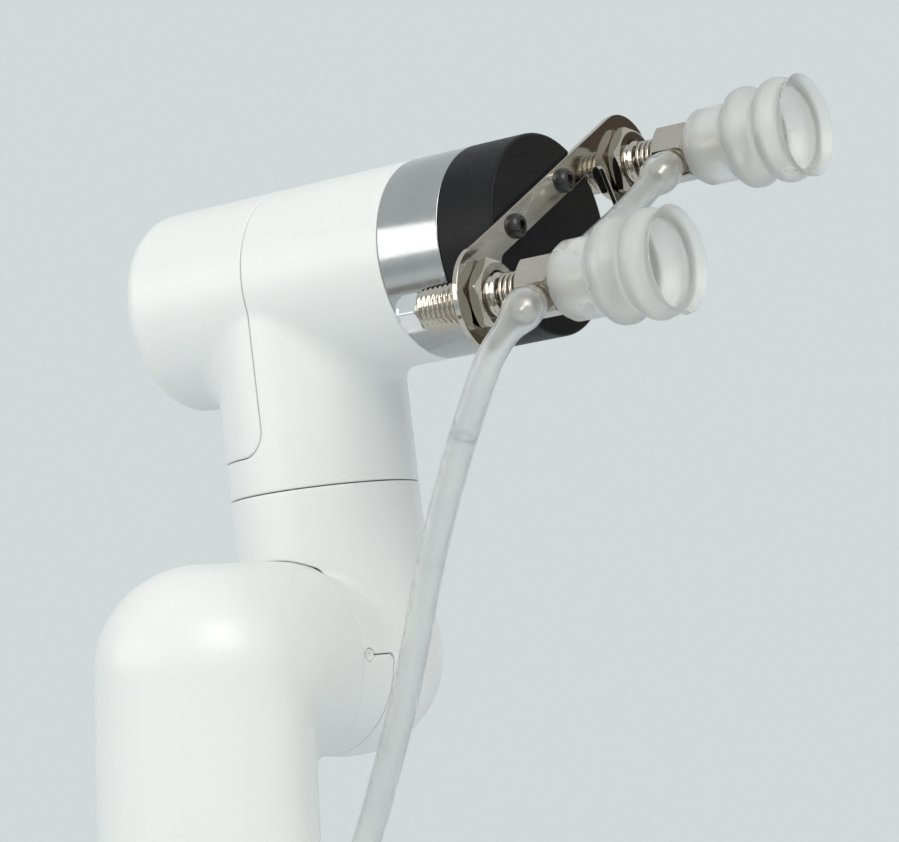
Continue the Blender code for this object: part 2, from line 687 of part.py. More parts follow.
def build_flange(tool):
    """Grey ring round the joint-6 flange, the black adaptor and its two screws."""
    sleeve("flange_ring", TEE_RADIUS, RING_BORE, TEE_FRONT + HALF_GAP, RING_FRONT, "grey_metal", tool)
    low = RING_FRONT + GAP
    edge = TEE_RADIUS - ADAPTOR_CHAMFER
    profile = [(0, low), (TEE_RADIUS, low), (TEE_RADIUS, ADAPTOR_FRONT - ADAPTOR_CHAMFER),
               (edge, ADAPTOR_FRONT), (0, ADAPTOR_FRONT)]
    adaptor = turned("tool_adaptor", profile, "black_plastic", tool)
    for k, x in enumerate(BRACKET_SCREWS):
        place = Matrix.Translation((x, BRACKET_SCREW_HEIGHT, 0))
        hole = cylinder("screw_pocket_%d" % (k + 1), SCREW_SHANK_RADIUS + GAP,
                        ADAPTOR_FRONT - SCREW_DEPTH - GAP, ADAPTOR_FRONT + 2 * MM, "black_plastic",
                        tool, place, 10)
        combine(adaptor, hole, "DIFFERENCE")
        build_bracket_screw("bracket_screw_%d" % (k + 1), place, tool)


def build_bracket_screw(name, place, tool):
    """Button-head screw that holds the bracket on the adaptor."""
    seat = BRACKET_FRONT + GAP
    front = seat + SCREW_HEAD_HEIGHT
    profile = screw_profile(SCREW_SHANK_RADIUS, SCREW_HEAD_RADIUS, ADAPTOR_FRONT - SCREW_DEPTH, seat,
                            front - SCREW_HEAD_CROWN)
    profile.insert(-1, (SCREW_HEAD_RADIUS - SCREW_HEAD_CROWN, front))
    profile[-1] = (0, front)
    turned(name, profile, "black_steel", tool, 12, place)


def ear_place(side):
    """Distance of a holder from the tool axis, for side -1 or 1."""
    return BRACKET_MIDDLE + side * EAR_OFFSET


def bracket_outline():
    """C-shaped outline: a straight strip on top and a round ear at each end."""
    low = degrees(acos((EAR_OFFSET - EAR_INNER) / EAR_RADIUS)) - 180
    right = arc_outline(EAR_OFFSET, 0, EAR_RADIUS, 90, low, 16)
    inner = EAR_INNER - NOTCH_FILLET
    under = STRIP_LOW - NOTCH_FILLET
    right_notch = arc_outline(inner, under, NOTCH_FILLET, 0, 90, 3)
    half = right + right_notch
    mirrored = [(-x, y) for x, y in reversed(half)]
    return [(x + BRACKET_MIDDLE, y) for x, y in half + mirrored]


def build_bracket(tool):
    """Polished steel bracket with holes for both suction holders and both screws."""
    holes = [circle_outline(ear_place(side), 0, EAR_HOLE_RADIUS, 16) for side in (-1, 1)]
    for x in BRACKET_SCREWS:
        holes.append(circle_outline(x, BRACKET_SCREW_HEIGHT, SCREW_SHANK_RADIUS + GAP, 10))
    plate("gripper_bracket", [bracket_outline()] + holes, BRACKET_REAR, BRACKET_FRONT,
          "polished_steel", tool)


# ---------------------------------------------------------------- suction holders

def build_holder(tag, side, tool):
    """Threaded guide sleeve and its two clamp nuts, fixed to the bracket."""
    place = Matrix.Translation((ear_place(side), 0, 0))
    sleeve("guide_sleeve_" + tag, SLEEVE_RADIUS, SLEEVE_BORE, SLEEVE_REAR, SLEEVE_FRONT, "nickel",
           tool, place, 20)
    bore = circle_outline(0, 0, SLEEVE_RADIUS + GAP, 16)
    rear_low = BRACKET_REAR - GAP - CLAMP_NUT_HEIGHT
    front_low = BRACKET_FRONT + GAP
    for name, low in (("rear_nut_", rear_low), ("front_nut_", front_low)):
        plate(name + tag, [hexagon(CLAMP_NUT_FLATS), bore], low, low + CLAMP_NUT_HEIGHT, "nickel",
              tool, place)


def build_slider(tag, side, barbs, slider):
    """Everything that moves with one suction cup: rod, lock nut, fitting and cup."""
    place = Matrix.Translation((ear_place(side), 0, 0))
    cylinder("plunger_rod_" + tag, ROD_RADIUS, ROD_REAR, FITTING_REAR - GAP, "nickel", slider, place, 16)
    bore = circle_outline(0, 0, ROD_RADIUS + GAP, 16)
    plate("lock_nut_" + tag, [hexagon(LOCK_NUT_FLATS), bore], LOCK_NUT_REAR, SLEEVE_REAR - GAP,
          "nickel", slider, place)
    build_fitting(tag, place, barbs, slider)
    build_cup(tag, place, slider)


def build_spring(tag, side, tool):
    """Buffer spring round the rod, between the sleeve and the fitting."""
    low = SLEEVE_FRONT + GAP + SPRING_WIRE
    high = FITTING_REAR - GAP - SPRING_WIRE
    steps = int(SPRING_TURNS * SPRING_STEPS)
    path = []
    for k in range(steps + 1):
        angle = 2 * pi * SPRING_TURNS * k / steps
        x = ear_place(side) + SPRING_RADIUS * cos(angle)
        path.append(Vector((x, SPRING_RADIUS * sin(angle), low + (high - low) * k / steps)))
    bm = bmesh.new()
    rows = [[bm.verts.new(p) for p in loop] for loop in path_rings(path, SPRING_WIRE, 6)]
    skin(bm, rows)
    bm.faces.new(rows[0])
    bm.faces.new(rows[-1])
    solid("buffer_spring_" + tag, bm, "nickel", tool)


def build_fitting(tag, place, barbs, slider):
    """Hex fitting with a nipple for the cup and a hose barb on one or both sides."""
    body = plate("hose_fitting_" + tag, [hexagon(FITTING_FLATS)], FITTING_REAR, FITTING_FRONT,
                 "nickel", slider, place)
    nipple = cylinder("nipple_" + tag, NIPPLE_RADIUS, FITTING_REAR + FITTING_OVERLAP, NIPPLE_FRONT,
                      "nickel", slider, place, 16)
    combine(body, nipple, "UNION")
    for direction in barbs:
        lay = Matrix.Translation((0, 0, FITTING_MIDDLE)) @ Matrix.Rotation(direction * pi / 2, 4, "Y")
        neck = BARB_RADIUS - BARB_STEP
        profile = [
            (0, FITTING_OVERLAP),
            (BARB_COLLAR_RADIUS - BARB_COLLAR_CONE, FITTING_OVERLAP),
            (BARB_COLLAR_RADIUS, BARB_COLLAR_START),
            (BARB_COLLAR_RADIUS, BARB_COLLAR_END),
            (neck, BARB_COLLAR_END),
            (neck, BARB_END - BARB_TIP_LENGTH),
            (BARB_RADIUS, BARB_END - BARB_TIP_LENGTH),
            (BARB_TIP_RADIUS, BARB_END),
            (0, BARB_END),
        ]
        barb = turned("barb_%s_%d" % (tag, direction), profile, "nickel", slider, 12, place @ lay)
        combine(body, barb, "UNION")


def build_cup(tag, place, slider):
    """Bellows suction cup with one and a half folds and a flared lip."""
    bore = NIPPLE_RADIUS + GAP
    profile = [(bore, CUP_REAR), (CUP_COLLAR_RADIUS - CUP_COLLAR_CHAMFER, CUP_REAR),
               (CUP_COLLAR_RADIUS, CUP_REAR + CUP_COLLAR_CHAMFER)]
    profile += [(radius * MM, CUP_REAR + depth * MM) for radius, depth in CUP_OUTSIDE]
    profile += [(radius * MM, CUP_REAR + depth * MM) for radius, depth in CUP_INSIDE]
    profile.append((bore, CUP_REAR + CUP_FLOOR_DEPTH))
    turned("suction_cup_" + tag, profile, "silicone", slider, 20, place)


# ---------------------------------------------------------------- hoses

def hose(name, path, parent):
    """A flexible tube along a path given in its parent's frame."""
    outer = path_rings(path, HOSE_RADIUS, 10)
    inner = path_rings(path, HOSE_BORE, 10)
    tube_shell(name, outer, inner, "silicone", parent)


def build_hoses(tool):
    """Link hose between both fittings, and the supply hose that hangs from fitting a."""
    start = Vector((ear_place(-1) + HOSE_START, 0, FITTING_MIDDLE))
    end = Vector((ear_place(1) - HOSE_START, 0, FITTING_MIDDLE))
    middle = (start + end) / 2 - AXIS_Y * LINK_HOSE_SAG
    hose("link_hose", smooth_path([start, middle, end], 3), tool)

    bpy.context.view_layer.update()
    into_tool = tool.matrix_world.inverted()
    barb = Vector((ear_place(-1), 0, FITTING_MIDDLE))
    wrist = Vector((WRIST_AXIS_X, FOREARM_LENGTH * sin(FOREARM_LEAN),
                    SHOULDER_HEIGHT + UPPER_ARM_LENGTH + FOREARM_LENGTH * cos(FOREARM_LEAN)))
    straight = (HOSE_START, (HOSE_START + BARB_END) / 2, BARB_END)
    points = [barb - AXIS_X * distance for distance in straight]
    points += [into_tool @ (wrist + Vector(offset) * MM) for offset in SUPPLY_HOSE_POINTS]
    hose("supply_hose", smooth_path(points, 2), tool)


# ---------------------------------------------------------------- assembly

def build_arm():
    """Joint frames from the base to the gripper, and the pieces that each one carries."""
    base = frame("base_frame", None)
    joint_1 = frame("joint_1", base, Vector((0, 0, BASE_HEIGHT)))
    joint_2 = frame("joint_2", joint_1, Vector((0, 0, SHOULDER_HEIGHT - BASE_HEIGHT)))
    joint_3 = frame("joint_3", joint_2, Vector((0, 0, UPPER_ARM_LENGTH)), (-FOREARM_LEAN, 0, 0))
    joint_4 = frame("joint_4", joint_3, Vector((0, 0, FOREARM_LENGTH)), (-WRIST_PITCH, 0, 0))
    joint_5 = frame("joint_5", joint_4, Vector((WRIST_AXIS_X, 0, 0)), (0, 0, WRIST_TURN))
    joint_6 = frame("joint_6", joint_5, Vector((0, 0, TEE_HEIGHT)), (pi / 2, -GRIPPER_ROLL, 0))
    slide_a = frame("slide_a", joint_6)
    slide_b = frame("slide_b", joint_6)
    upright = Matrix.Identity(4)
    drive_unit("j1", base, joint_1, upright, upright)
    drive_unit("j2", joint_1, joint_2, ALONG_X, ALONG_X)
    drive_unit("j3", joint_2, joint_3, ALONG_X, ALONG_X)
    drive_unit("j4", joint_3, joint_4, ALONG_X, ALONG_X)
    drive_unit("j5", joint_4, joint_5, upright, upright)
    drive_unit("j6", joint_5, joint_6, ALONG_FRONT, upright)
    build_base(base)
    build_shoulder(joint_1)
    build_upper_arm(joint_2)
    build_forearm(joint_3)
    build_wrist_1(joint_4)
    build_wrist_2(joint_5)
    build_flange(joint_6)
    build_bracket(joint_6)
    for tag, side, barbs, slider in (("a", -1, (-1, 1), slide_a), ("b", 1, (-1,), slide_b)):
        build_holder(tag, side, joint_6)
        build_spring(tag, side, joint_6)
        build_slider(tag, side, barbs, slider)
    build_hoses(joint_6)


clear_scene()
build_arm()
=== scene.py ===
"""Looks of the desktop robot arm: moulded housings, turned and threaded metal, silicone cups and hoses.

Shapes are worked out in millimetres in each link's own frame. A frame's matrix, taken from the packed
joints, turns them into metres in the shared frame.
"""

import json
from math import cos, pi, radians, sin, tan

import bmesh
import bpy
import numpy as np
from mathutils import Matrix, Vector


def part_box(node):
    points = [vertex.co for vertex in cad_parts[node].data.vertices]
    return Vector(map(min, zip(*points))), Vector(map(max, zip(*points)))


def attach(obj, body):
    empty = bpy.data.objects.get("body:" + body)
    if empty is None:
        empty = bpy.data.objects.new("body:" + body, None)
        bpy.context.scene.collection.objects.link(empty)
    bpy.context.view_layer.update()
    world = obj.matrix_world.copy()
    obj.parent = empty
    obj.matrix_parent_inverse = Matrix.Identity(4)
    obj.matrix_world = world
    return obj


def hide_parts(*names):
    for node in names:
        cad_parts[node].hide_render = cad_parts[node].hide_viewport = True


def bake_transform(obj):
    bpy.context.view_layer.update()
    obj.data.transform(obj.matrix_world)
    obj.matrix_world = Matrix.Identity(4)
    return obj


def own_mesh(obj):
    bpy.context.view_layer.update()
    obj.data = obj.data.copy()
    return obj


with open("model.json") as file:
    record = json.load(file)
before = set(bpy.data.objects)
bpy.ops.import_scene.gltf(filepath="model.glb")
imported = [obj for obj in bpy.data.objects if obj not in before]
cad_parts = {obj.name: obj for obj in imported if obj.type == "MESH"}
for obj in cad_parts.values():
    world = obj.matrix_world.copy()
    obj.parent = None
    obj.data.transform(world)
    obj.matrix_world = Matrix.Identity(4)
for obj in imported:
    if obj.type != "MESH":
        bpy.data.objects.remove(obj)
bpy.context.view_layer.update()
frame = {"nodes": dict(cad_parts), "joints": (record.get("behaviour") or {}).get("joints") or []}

MM = 0.001
SEAM = 0.3          # width of the gap between two housings
LIP = 0.45          # edge radius of a housing at a seam
SMOOTH_ANGLE = radians(42)


# ---------------------------------------------------------------- link frames

JOINTS = {joint["name"]: joint for joint in frame["joints"]}


def pivot(name):
    """A joint's point in the shared frame."""
    return Vector(JOINTS[name]["pos_m"])


def axis_of(name):
    """A joint's unit axis in the shared frame."""
    return Vector(JOINTS[name]["axis"]).normalized()


def link_frame(origin, x_axis, z_axis):
    """Matrix from a link's own millimetres to metres in the shared frame."""
    z = z_axis.normalized()
    x = (x_axis - z * x_axis.dot(z)).normalized()
    y = z.cross(x)
    turn = Matrix((x, y, z)).transposed().to_4x4()
    return Matrix.Translation(origin) @ turn @ Matrix.Scale(MM, 4)


def box_centre(node):
    """Middle of a CAD node's box."""
    low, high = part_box(node)
    return (low + high) / 2


X_AXIS = Vector((1, 0, 0))
Z_AXIS = Vector((0, 0, 1))
TOOL_AXIS = axis_of("tool_roll")
TURN_AXIS = axis_of("wrist_turn")
CUP_LINE = box_centre("plunger_rod_b") - box_centre("plunger_rod_a")

BASE = link_frame(Vector(), X_AXIS, Z_AXIS)
SHOULDER = link_frame(pivot("shoulder_pitch"), X_AXIS, Z_AXIS)
UPPER_ARM = link_frame(pivot("shoulder_pitch"), X_AXIS, pivot("elbow_pitch") - pivot("shoulder_pitch"))
FOREARM = link_frame(pivot("elbow_pitch"), X_AXIS, pivot("wrist_pitch") - pivot("elbow_pitch"))
WRIST_1 = link_frame(pivot("wrist_pitch"), X_AXIS, TURN_AXIS)
WRIST_2 = link_frame(pivot("wrist_turn"), TURN_AXIS.cross(TOOL_AXIS), TURN_AXIS)
TOOL = link_frame(pivot("tool_roll"), CUP_LINE, TOOL_AXIS)

FOREARM_LENGTH = (pivot("wrist_pitch") - pivot("elbow_pitch")).length / MM
UPPER_ARM_LENGTH = (pivot("elbow_pitch") - pivot("shoulder_pitch")).length / MM
SHOULDER_RISE = (pivot("shoulder_pitch") - pivot("base_turn")).length / MM
BASE_HEIGHT = pivot("base_turn").z / MM
WRIST_X = pivot("wrist_turn").x / MM
TEE_Z = (pivot("tool_roll") - pivot("wrist_turn")).length / MM
HOLDER_U = [(TOOL.inverted() @ box_centre("plunger_rod_" + tag)).x for tag in "ab"]
BRACKET_MIDDLE = sum(HOLDER_U) / 2
EAR_OFFSET = CUP_LINE.length / MM / 2


# ---------------------------------------------------------------- distance fields

def tube(p, start, end, radius, end_radius=None):
    """Distance to a round-ended tube, and the direction away from its middle line."""
    a = np.array(start, float)
    along = np.array(end, float) - a
    t = np.clip((p - a) @ along / (along @ along), 0, 1)
    away = p - a - t[:, None] * along
    length = np.maximum(np.linalg.norm(away, axis=1), 1e-9)
    taper = radius + t * ((end_radius or radius) - radius)
    return length - taper, away / length[:, None]


def drum(p, centre, axis, radius, reach, edge):
    """Distance to a cylinder with one rounded end at reach, and its radial direction."""
    q = p - np.array(centre, float)
    n = np.array(axis, float)
    along = q @ n
    away = q - along[:, None] * n
    length = np.maximum(np.linalg.norm(away, axis=1), 1e-9)
    side = length - (radius - edge)
    end = along - (reach - edge)
    outside = np.hypot(np.maximum(side, 0), np.maximum(end, 0))
    inside = np.minimum(np.maximum(side, end), 0)
    return outside + inside - edge, away / length[:, None]


def join(first, second, blend):
    """Union of two fields, filleted where their surfaces cross and plain where they run together."""
    (a, na), (b, nb) = first, second
    crossing = 1 - np.clip(np.sum(na * nb, axis=1), 0, 1)
    width = np.maximum(blend * crossing, 1e-6)
    h = np.maximum(width - np.abs(a - b), 0) / width
    nearer = (a < b)[:, None]
    return np.minimum(a, b) - h * h * width / 4, np.where(nearer, na, nb)


def soft_max(a, b, radius):
    """Larger of two distances, with the corner between them rounded."""
    both = np.hypot(np.maximum(a + radius, 0), np.maximum(b + radius, 0)) - radius
    return np.where(np.minimum(a, b) > -radius, both, np.maximum(a, b))


def soft_min(a, b, radius):
    """Smaller of two distances, with the corner between them rounded."""
    return -soft_max(-a, -b, radius)


def slope(field, p, step=0.02):
    """Gradient of a field by central differences."""
    columns = []
    for k in range(3):
        shift = np.zeros(3)
        shift[k] = step
        columns.append((field(p + shift) - field(p - shift)) / (2 * step))
    return np.stack(columns, axis=1)


def settle(field, p, rounds=3):
    """Move points onto the zero surface of a field."""
    for _ in range(rounds):
        g = slope(field, p)
        p = p - (field(p) / np.maximum((g * g).sum(axis=1), 1e-9))[:, None] * g
    return p


CORNERS = [(i, j, k) for i in (0, 1) for j in (0, 1) for k in (0, 1)]
CELL_EDGES = [(a, b) for a in CORNERS for b in CORNERS if sum(b) - sum(a) == 1 and
              sum(abs(u - v) for u, v in zip(a, b)) == 1]


def corner_block(grid, corner):
    """The grid's values at one corner of every cell."""
    window = tuple(slice(o, o + n - 1) for o, n in zip(corner, grid.shape[:3]))
    return grid[window]


def field_surface(field, low, high, step):
    """Points and quads of a field's zero surface: surface nets, then relaxed and settled on it."""
    axes = [np.arange(a, b + step, step) for a, b in zip(low, high)]
    grid = np.stack(np.meshgrid(*axes, indexing="ij"), axis=-1)
    values = field(grid.reshape(-1, 3)).reshape(grid.shape[:3])
    total = np.zeros(tuple(n - 1 for n in values.shape) + (3,))
    count = np.zeros(total.shape[:3])
    for a, b in CELL_EDGES:
        va, vb = corner_block(values, a), corner_block(values, b)
        crossed = (va < 0) != (vb < 0)
        t = np.where(crossed, va / np.where(crossed, va - vb, 1), 0)
        point = corner_block(grid, a) * (1 - t)[..., None] + corner_block(grid, b) * t[..., None]
        total += np.where(crossed[..., None], point, 0)
        count += crossed
    used = count > 0
    number = np.full(count.shape, -1)
    number[used] = np.arange(used.sum())
    points = total[used] / count[used][:, None]
    quads = []
    for axis in range(3):
        u, v = [k for k in range(3) if k != axis]
        first = np.moveaxis(values < 0, (axis, u, v), (0, 1, 2))
        cells = np.moveaxis(number, (axis, u, v), (0, 1, 2))
        inner, outer = first[:-1, 1:-1, 1:-1], first[1:, 1:-1, 1:-1]
        loop = np.stack([cells[:, :-1, :-1], cells[:, 1:, :-1], cells[:, 1:, 1:], cells[:, :-1, 1:]], -1)
        flip = -1 if axis == 1 else 1
        quads.append(loop[inner & ~outer][:, ::flip])
        quads.append(loop[~inner & outer][:, ::-flip])
    quads = np.concatenate(quads)
    return relax(field, points, quads), quads


def relax(field, points, quads, rounds=6):
    """Even out the spacing of a surface's points while they stay on the field's zero surface."""
    edges = np.concatenate([quads[:, [k, (k + 1) % 4]] for k in range(4)])
    count = np.bincount(edges.ravel(), minlength=len(points))
    points = settle(field, points)
    for _ in range(rounds):
        total = np.zeros_like(points)
        np.add.at(total, edges[:, 0], points[edges[:, 1]])
        np.add.at(total, edges[:, 1], points[edges[:, 0]])
        points = settle(field, 0.5 * points + 0.5 * total / count[:, None], 1)
    return settle(field, points)


# ---------------------------------------------------------------- shells with real walls and rims

def refine(bm, field, centre, radius, cuts):
    """Finer faces near a small feature, settled back onto the field."""
    near = [e for e in bm.edges if all((v.co - Vector(centre)).length < radius for v in e.verts)]
    bmesh.ops.subdivide_edges(bm, edges=near, cuts=cuts, use_grid_fill=True)
    put(bm, settle(field, coordinates(bm)))


def coordinates(bm):
    """Vertex positions of a bmesh as an array."""
    return np.array([v.co for v in bm.verts], float).reshape(-1, 3)


def put(bm, points):
    """Write an array of positions back into a bmesh."""
    for vertex, point in zip(bm.verts, points):
        vertex.co = point


def trim(bm, field, level, snap):
    """Cut the surface along level = 0 and keep the side where level is negative."""
    points = coordinates(bm)
    for _ in range(3):
        value = level(points)
        near = np.abs(value) < snap
        normal = slope(field, points[near])
        normal /= np.linalg.norm(normal, axis=1)[:, None]
        along = slope(level, points[near])
        along -= (along * normal).sum(axis=1)[:, None] * normal
        size = np.maximum((along * along).sum(axis=1), 0.05)
        points[near] -= (value[near] / size)[:, None] * along
        points[near] = settle(field, points[near], 1)
    put(bm, points)
    value = level(points)
    value[near & (np.abs(value) < 0.02)] = 0
    bm.verts.index_update()
    bm.verts.ensure_lookup_table()
    on_line = [bm.verts[k] for k in np.flatnonzero(value == 0)]
    drop = [bm.verts[k] for k in np.flatnonzero(value > 0)]
    ends = [(e, e.verts[0], value[e.verts[0].index], value[e.verts[1].index]) for e in bm.edges]
    for edge, start, a, b in ends:
        if a * b < 0:
            on_line.append(bmesh.utils.edge_split(edge, start, a / (a - b))[1])
    bmesh.ops.connect_verts(bm, verts=on_line)
    bmesh.ops.delete(bm, geom=drop, context="VERTS")
    loose = [e for e in bm.edges if not e.link_faces]
    bmesh.ops.delete(bm, geom=loose, context="EDGES")


def rim_loops(bm):
    """Boundary vertices of a bmesh as ordered closed loops."""
    links = {}
    for edge in bm.edges:
        if edge.is_boundary:
            loop = edge.link_loops[0]
            links[loop.vert.index] = loop.link_loop_next.vert.index
    loops = []
    while links:
        start, following = links.popitem()
        chain = [start]
        while following != start:
            chain.append(following)
            following = links.pop(following)
        loops.append(chain)
    return loops


def shell(field, low, high, step, levels, wall, fine=()):
    """Closed shell of a field: trimmed at each level, with rounded rims and an inner wall.

    Returns points in millimetres and faces.
    """
    points, quads = field_surface(field, low, high, step)
    bm = bmesh.new()
    for point in points:
        bm.verts.new(point)
    bm.verts.ensure_lookup_table()
    for quad in quads:
        bm.faces.new([bm.verts[k] for k in quad])
    for centre, radius, cuts in fine:
        refine(bm, field, centre, radius, cuts)
    for level in levels:
        trim(bm, field, lambda p, g=level: g(p) + SEAM / 2 + LIP, step * 0.3)
    bm.verts.index_update()
    outer = coordinates(bm)
    faces = [[v.index for v in f.verts] for f in bm.faces]
    loops = rim_loops(bm)
    bm.free()
    normal = slope(field, outer)
    normal /= np.linalg.norm(normal, axis=1)[:, None]
    made = [outer, outer - wall * normal]
    count = len(outer)
    faces += [[k + count for k in reversed(face)] for face in faces]
    total = 2 * count
    for chain in loops:
        rim, n = outer[chain], normal[chain]
        nearest = min(levels, key=lambda g: np.abs(g(rim) + SEAM / 2 + LIP).mean())
        out = slope(nearest, rim)
        out -= (out * n).sum(axis=1)[:, None] * n
        out /= np.maximum(np.linalg.norm(out, axis=1), 1e-6)[:, None]
        rows = [np.array(chain)]
        for degrees in (22.5, 45, 67.5, 90):
            a = radians(degrees)
            made.append(rim + LIP * sin(a) * out - LIP * (1 - cos(a)) * n)
            rows.append(total + np.arange(len(chain)))
            total += len(chain)
        made.append(rim + LIP * out - (wall - 0.2) * n)
        rows.append(total + np.arange(len(chain)))
        total += len(chain)
        rows.append(np.array(chain) + count)
        for near_row, far_row in zip(rows, rows[1:]):
            for k in range(len(chain)):
                m = (k + 1) % len(chain)
                faces.append([near_row[m], near_row[k], far_row[k], far_row[m]])
    return np.concatenate(made), faces


# ---------------------------------------------------------------- materials

def new_material(name, **values):
    """A Principled material whose uniform values sit on the shader's own sockets."""
    made = bpy.data.materials.new(name)
    made.use_nodes = True
    shader = made.node_tree.nodes["Principled BSDF"]
    for socket, value in values.items():
        shader.inputs[socket.replace("_", " ")].default_value = value
    return made


def node(material, kind, **settings):
    """Add one shader node; settings are its properties, or inputs where the name is a socket's."""
    made = material.node_tree.nodes.new(kind)
    for key, value in settings.items():
        if key in made.inputs:
            made.inputs[key].default_value = value
        else:
            setattr(made, key, value)
    return made


def wire(material, source, output, target, socket):
    """Link one node's output to another node's input."""
    material.node_tree.links.new(source.outputs[output], target.inputs[socket])


def place_of(material, stretch=(1, 1, 1)):
    """Object coordinates in metres, stretched for directional textures."""
    coordinate = node(material, "ShaderNodeTexCoord")
    mapping = node(material, "ShaderNodeMapping")
    mapping.inputs["Scale"].default_value = stretch
    wire(material, coordinate, "Object", mapping, "Vector")
    return mapping


def along(material, axis):
    """Distance of a point along an axis, in metres."""
    coordinate = node(material, "ShaderNodeTexCoord")
    dot = node(material, "ShaderNodeVectorMath", operation="DOT_PRODUCT")
    dot.inputs[1].default_value = axis
    wire(material, coordinate, "Object", dot, 0)
    return dot


def noise(material, source, scale, detail):
    """Noise read at a mapped place."""
    made = node(material, "ShaderNodeTexNoise", Scale=scale, Detail=detail)
    wire(material, source, "Vector", made, "Vector")
    return made


def ramp(material, source, low, high, output="Fac"):
    """A colour ramp from low to high, each a (position, colour)."""
    made = node(material, "ShaderNodeValToRGB")
    for element, (position, colour) in zip(made.color_ramp.elements, (low, high)):
        element.position = position
        element.color = (*colour, 1)
    wire(material, source, output, made, "Fac")
    return made


def spread(material, source, low, high):
    """Remap a texture's middle range to low..high."""
    made = node(material, "ShaderNodeMapRange")
    made.inputs["From Min"].default_value = 0.3
    made.inputs["From Max"].default_value = 0.7
    made.inputs["To Min"].default_value = low
    made.inputs["To Max"].default_value = high
    wire(material, source, "Fac", made, "Value")
    return made


def add_bump(material, source, height, output="Fac", base=None):
    """Bump from a texture, with its height in metres; stacks on an earlier bump."""
    made = node(material, "ShaderNodeBump", Strength=1.0, Distance=height)
    wire(material, source, output, made, "Height")
    if base:
        wire(material, base, "Normal", made, "Normal")
    return made


def shader_of(material):
    """The material's Principled shader."""
    return material.node_tree.nodes["Principled BSDF"]


def tinted(material, source, colour, other, output="Fac"):
    """Base colour that drifts between two tints."""
    made = ramp(material, source, (0.35, colour), (0.65, other), output)
    wire(material, made, "Color", shader_of(material), "Base Color")


def roughened(material, source, low, high):
    """Roughness that follows a texture's middle range from low to high."""
    wire(material, spread(material, source, low, high), "Result", shader_of(material), "Roughness")


def surfaced(material, bump):
    """The material's last bump."""
    wire(material, bump, "Normal", shader_of(material), "Normal")


def white_shell(name):
    """Moulded white plastic: faint cloudiness, orange-peel gloss and a fine grain."""
    made = new_material(name, Roughness=0.34, IOR=1.5, Coat_Weight=0.12, Coat_Roughness=0.22,
                        Subsurface_Weight=0.06, Subsurface_Scale=0.004)
    place = place_of(made)
    tinted(made, noise(made, place, 14, 4), (0.785, 0.795, 0.79), (0.815, 0.82, 0.81))
    roughened(made, noise(made, place, 90, 3), 0.3, 0.4)
    peel = add_bump(made, noise(made, place, 260, 2), 0.000012)
    grain = add_bump(made, noise(made, place, 2600, 2), 0.000004, base=peel)
    surfaced(made, grain)
    return made


def turned_metal(name, axis, colour, other, roughness, lines, depth, metallic=1.0):
    """Metal with fine rings round an axis, and patchy polish."""
    made = new_material(name, Metallic=metallic, IOR=1.6)
    place = place_of(made)
    tinted(made, noise(made, place, 60, 3), colour, other)
    roughened(made, noise(made, place, 420, 3), roughness * 0.8, roughness * 1.25)
    distance = along(made, axis)
    ring = node(made, "ShaderNodeTexNoise", noise_dimensions="1D", Scale=lines, Detail=4.0)
    wire(made, distance, "Value", ring, "W")
    bump = add_bump(made, ring, depth)
    pits = add_bump(made, noise(made, place, 3000, 2), depth * 0.5, base=bump)
    surfaced(made, pits)
    return made


def brushed_metal(name, stretch, colour, other, roughness, depth):
    """Metal with fine straight brushing along the direction that is stretched least."""
    made = new_material(name, Metallic=1.0, Anisotropic=0.35)
    tinted(made, noise(made, place_of(made), 45, 3), colour, other)
    brush = noise(made, place_of(made, stretch), 1.0, 4)
    roughened(made, brush, roughness * 0.75, roughness * 1.3)
    scratch = add_bump(made, brush, depth)
    dents = add_bump(made, noise(made, place_of(made), 150, 2), depth * 4, base=scratch)
    surfaced(made, dents)
    return made


def grained_plastic(name, colour, other, roughness, grain, depth, axis=None, specular=0.22):
    """Dull plastic with a cast grain, and faint rings where an axis is given."""
    made = new_material(name, Specular_IOR_Level=specular)
    place = place_of(made)
    tinted(made, noise(made, place, 35, 4), colour, other)
    spots = noise(made, place, grain, 3)
    roughened(made, spots, roughness - 0.07, roughness + 0.07)
    bump = add_bump(made, spots, depth)
    if axis:
        ring = node(made, "ShaderNodeTexNoise", noise_dimensions="1D", Scale=2400, Detail=2.0)
        wire(made, along(made, axis), "Value", ring, "W")
        bump = add_bump(made, ring, depth, base=bump)
    surfaced(made, bump)
    return made


def silicone(name, clear, cloudy, transmission, roughness, scatter):
    """Milky silicone rubber: light passes through it blurred, and its body is faintly cloudy."""
    made = new_material(name, IOR=1.41, Transmission_Weight=transmission, Subsurface_Weight=scatter,
                        Subsurface_Scale=0.004, Subsurface_Radius=(1, 0.95, 0.85))
    place = place_of(made)
    tinted(made, noise(made, place, 60, 2), clear, cloudy)
    roughened(made, noise(made, place, 90, 2), roughness - 0.03, roughness + 0.03)
    skin = add_bump(made, noise(made, place, 500, 1), 0.0000012)
    surfaced(made, skin)
    return made


def board_material():
    """Green solder mask with pale traces."""
    made = new_material("board", Roughness=0.35, Coat_Weight=0.4, Coat_Roughness=0.15)
    place = place_of(made)
    traces = node(made, "ShaderNodeTexVoronoi", distance="MANHATTAN", feature="F1", Scale=260)
    wire(made, place, "Vector", traces, "Vector")
    tinted(made, traces, (0.02, 0.16, 0.07), (0.05, 0.3, 0.14), "Distance")
    surfaced(made, add_bump(made, traces, 0.00003, output="Distance"))
    return made


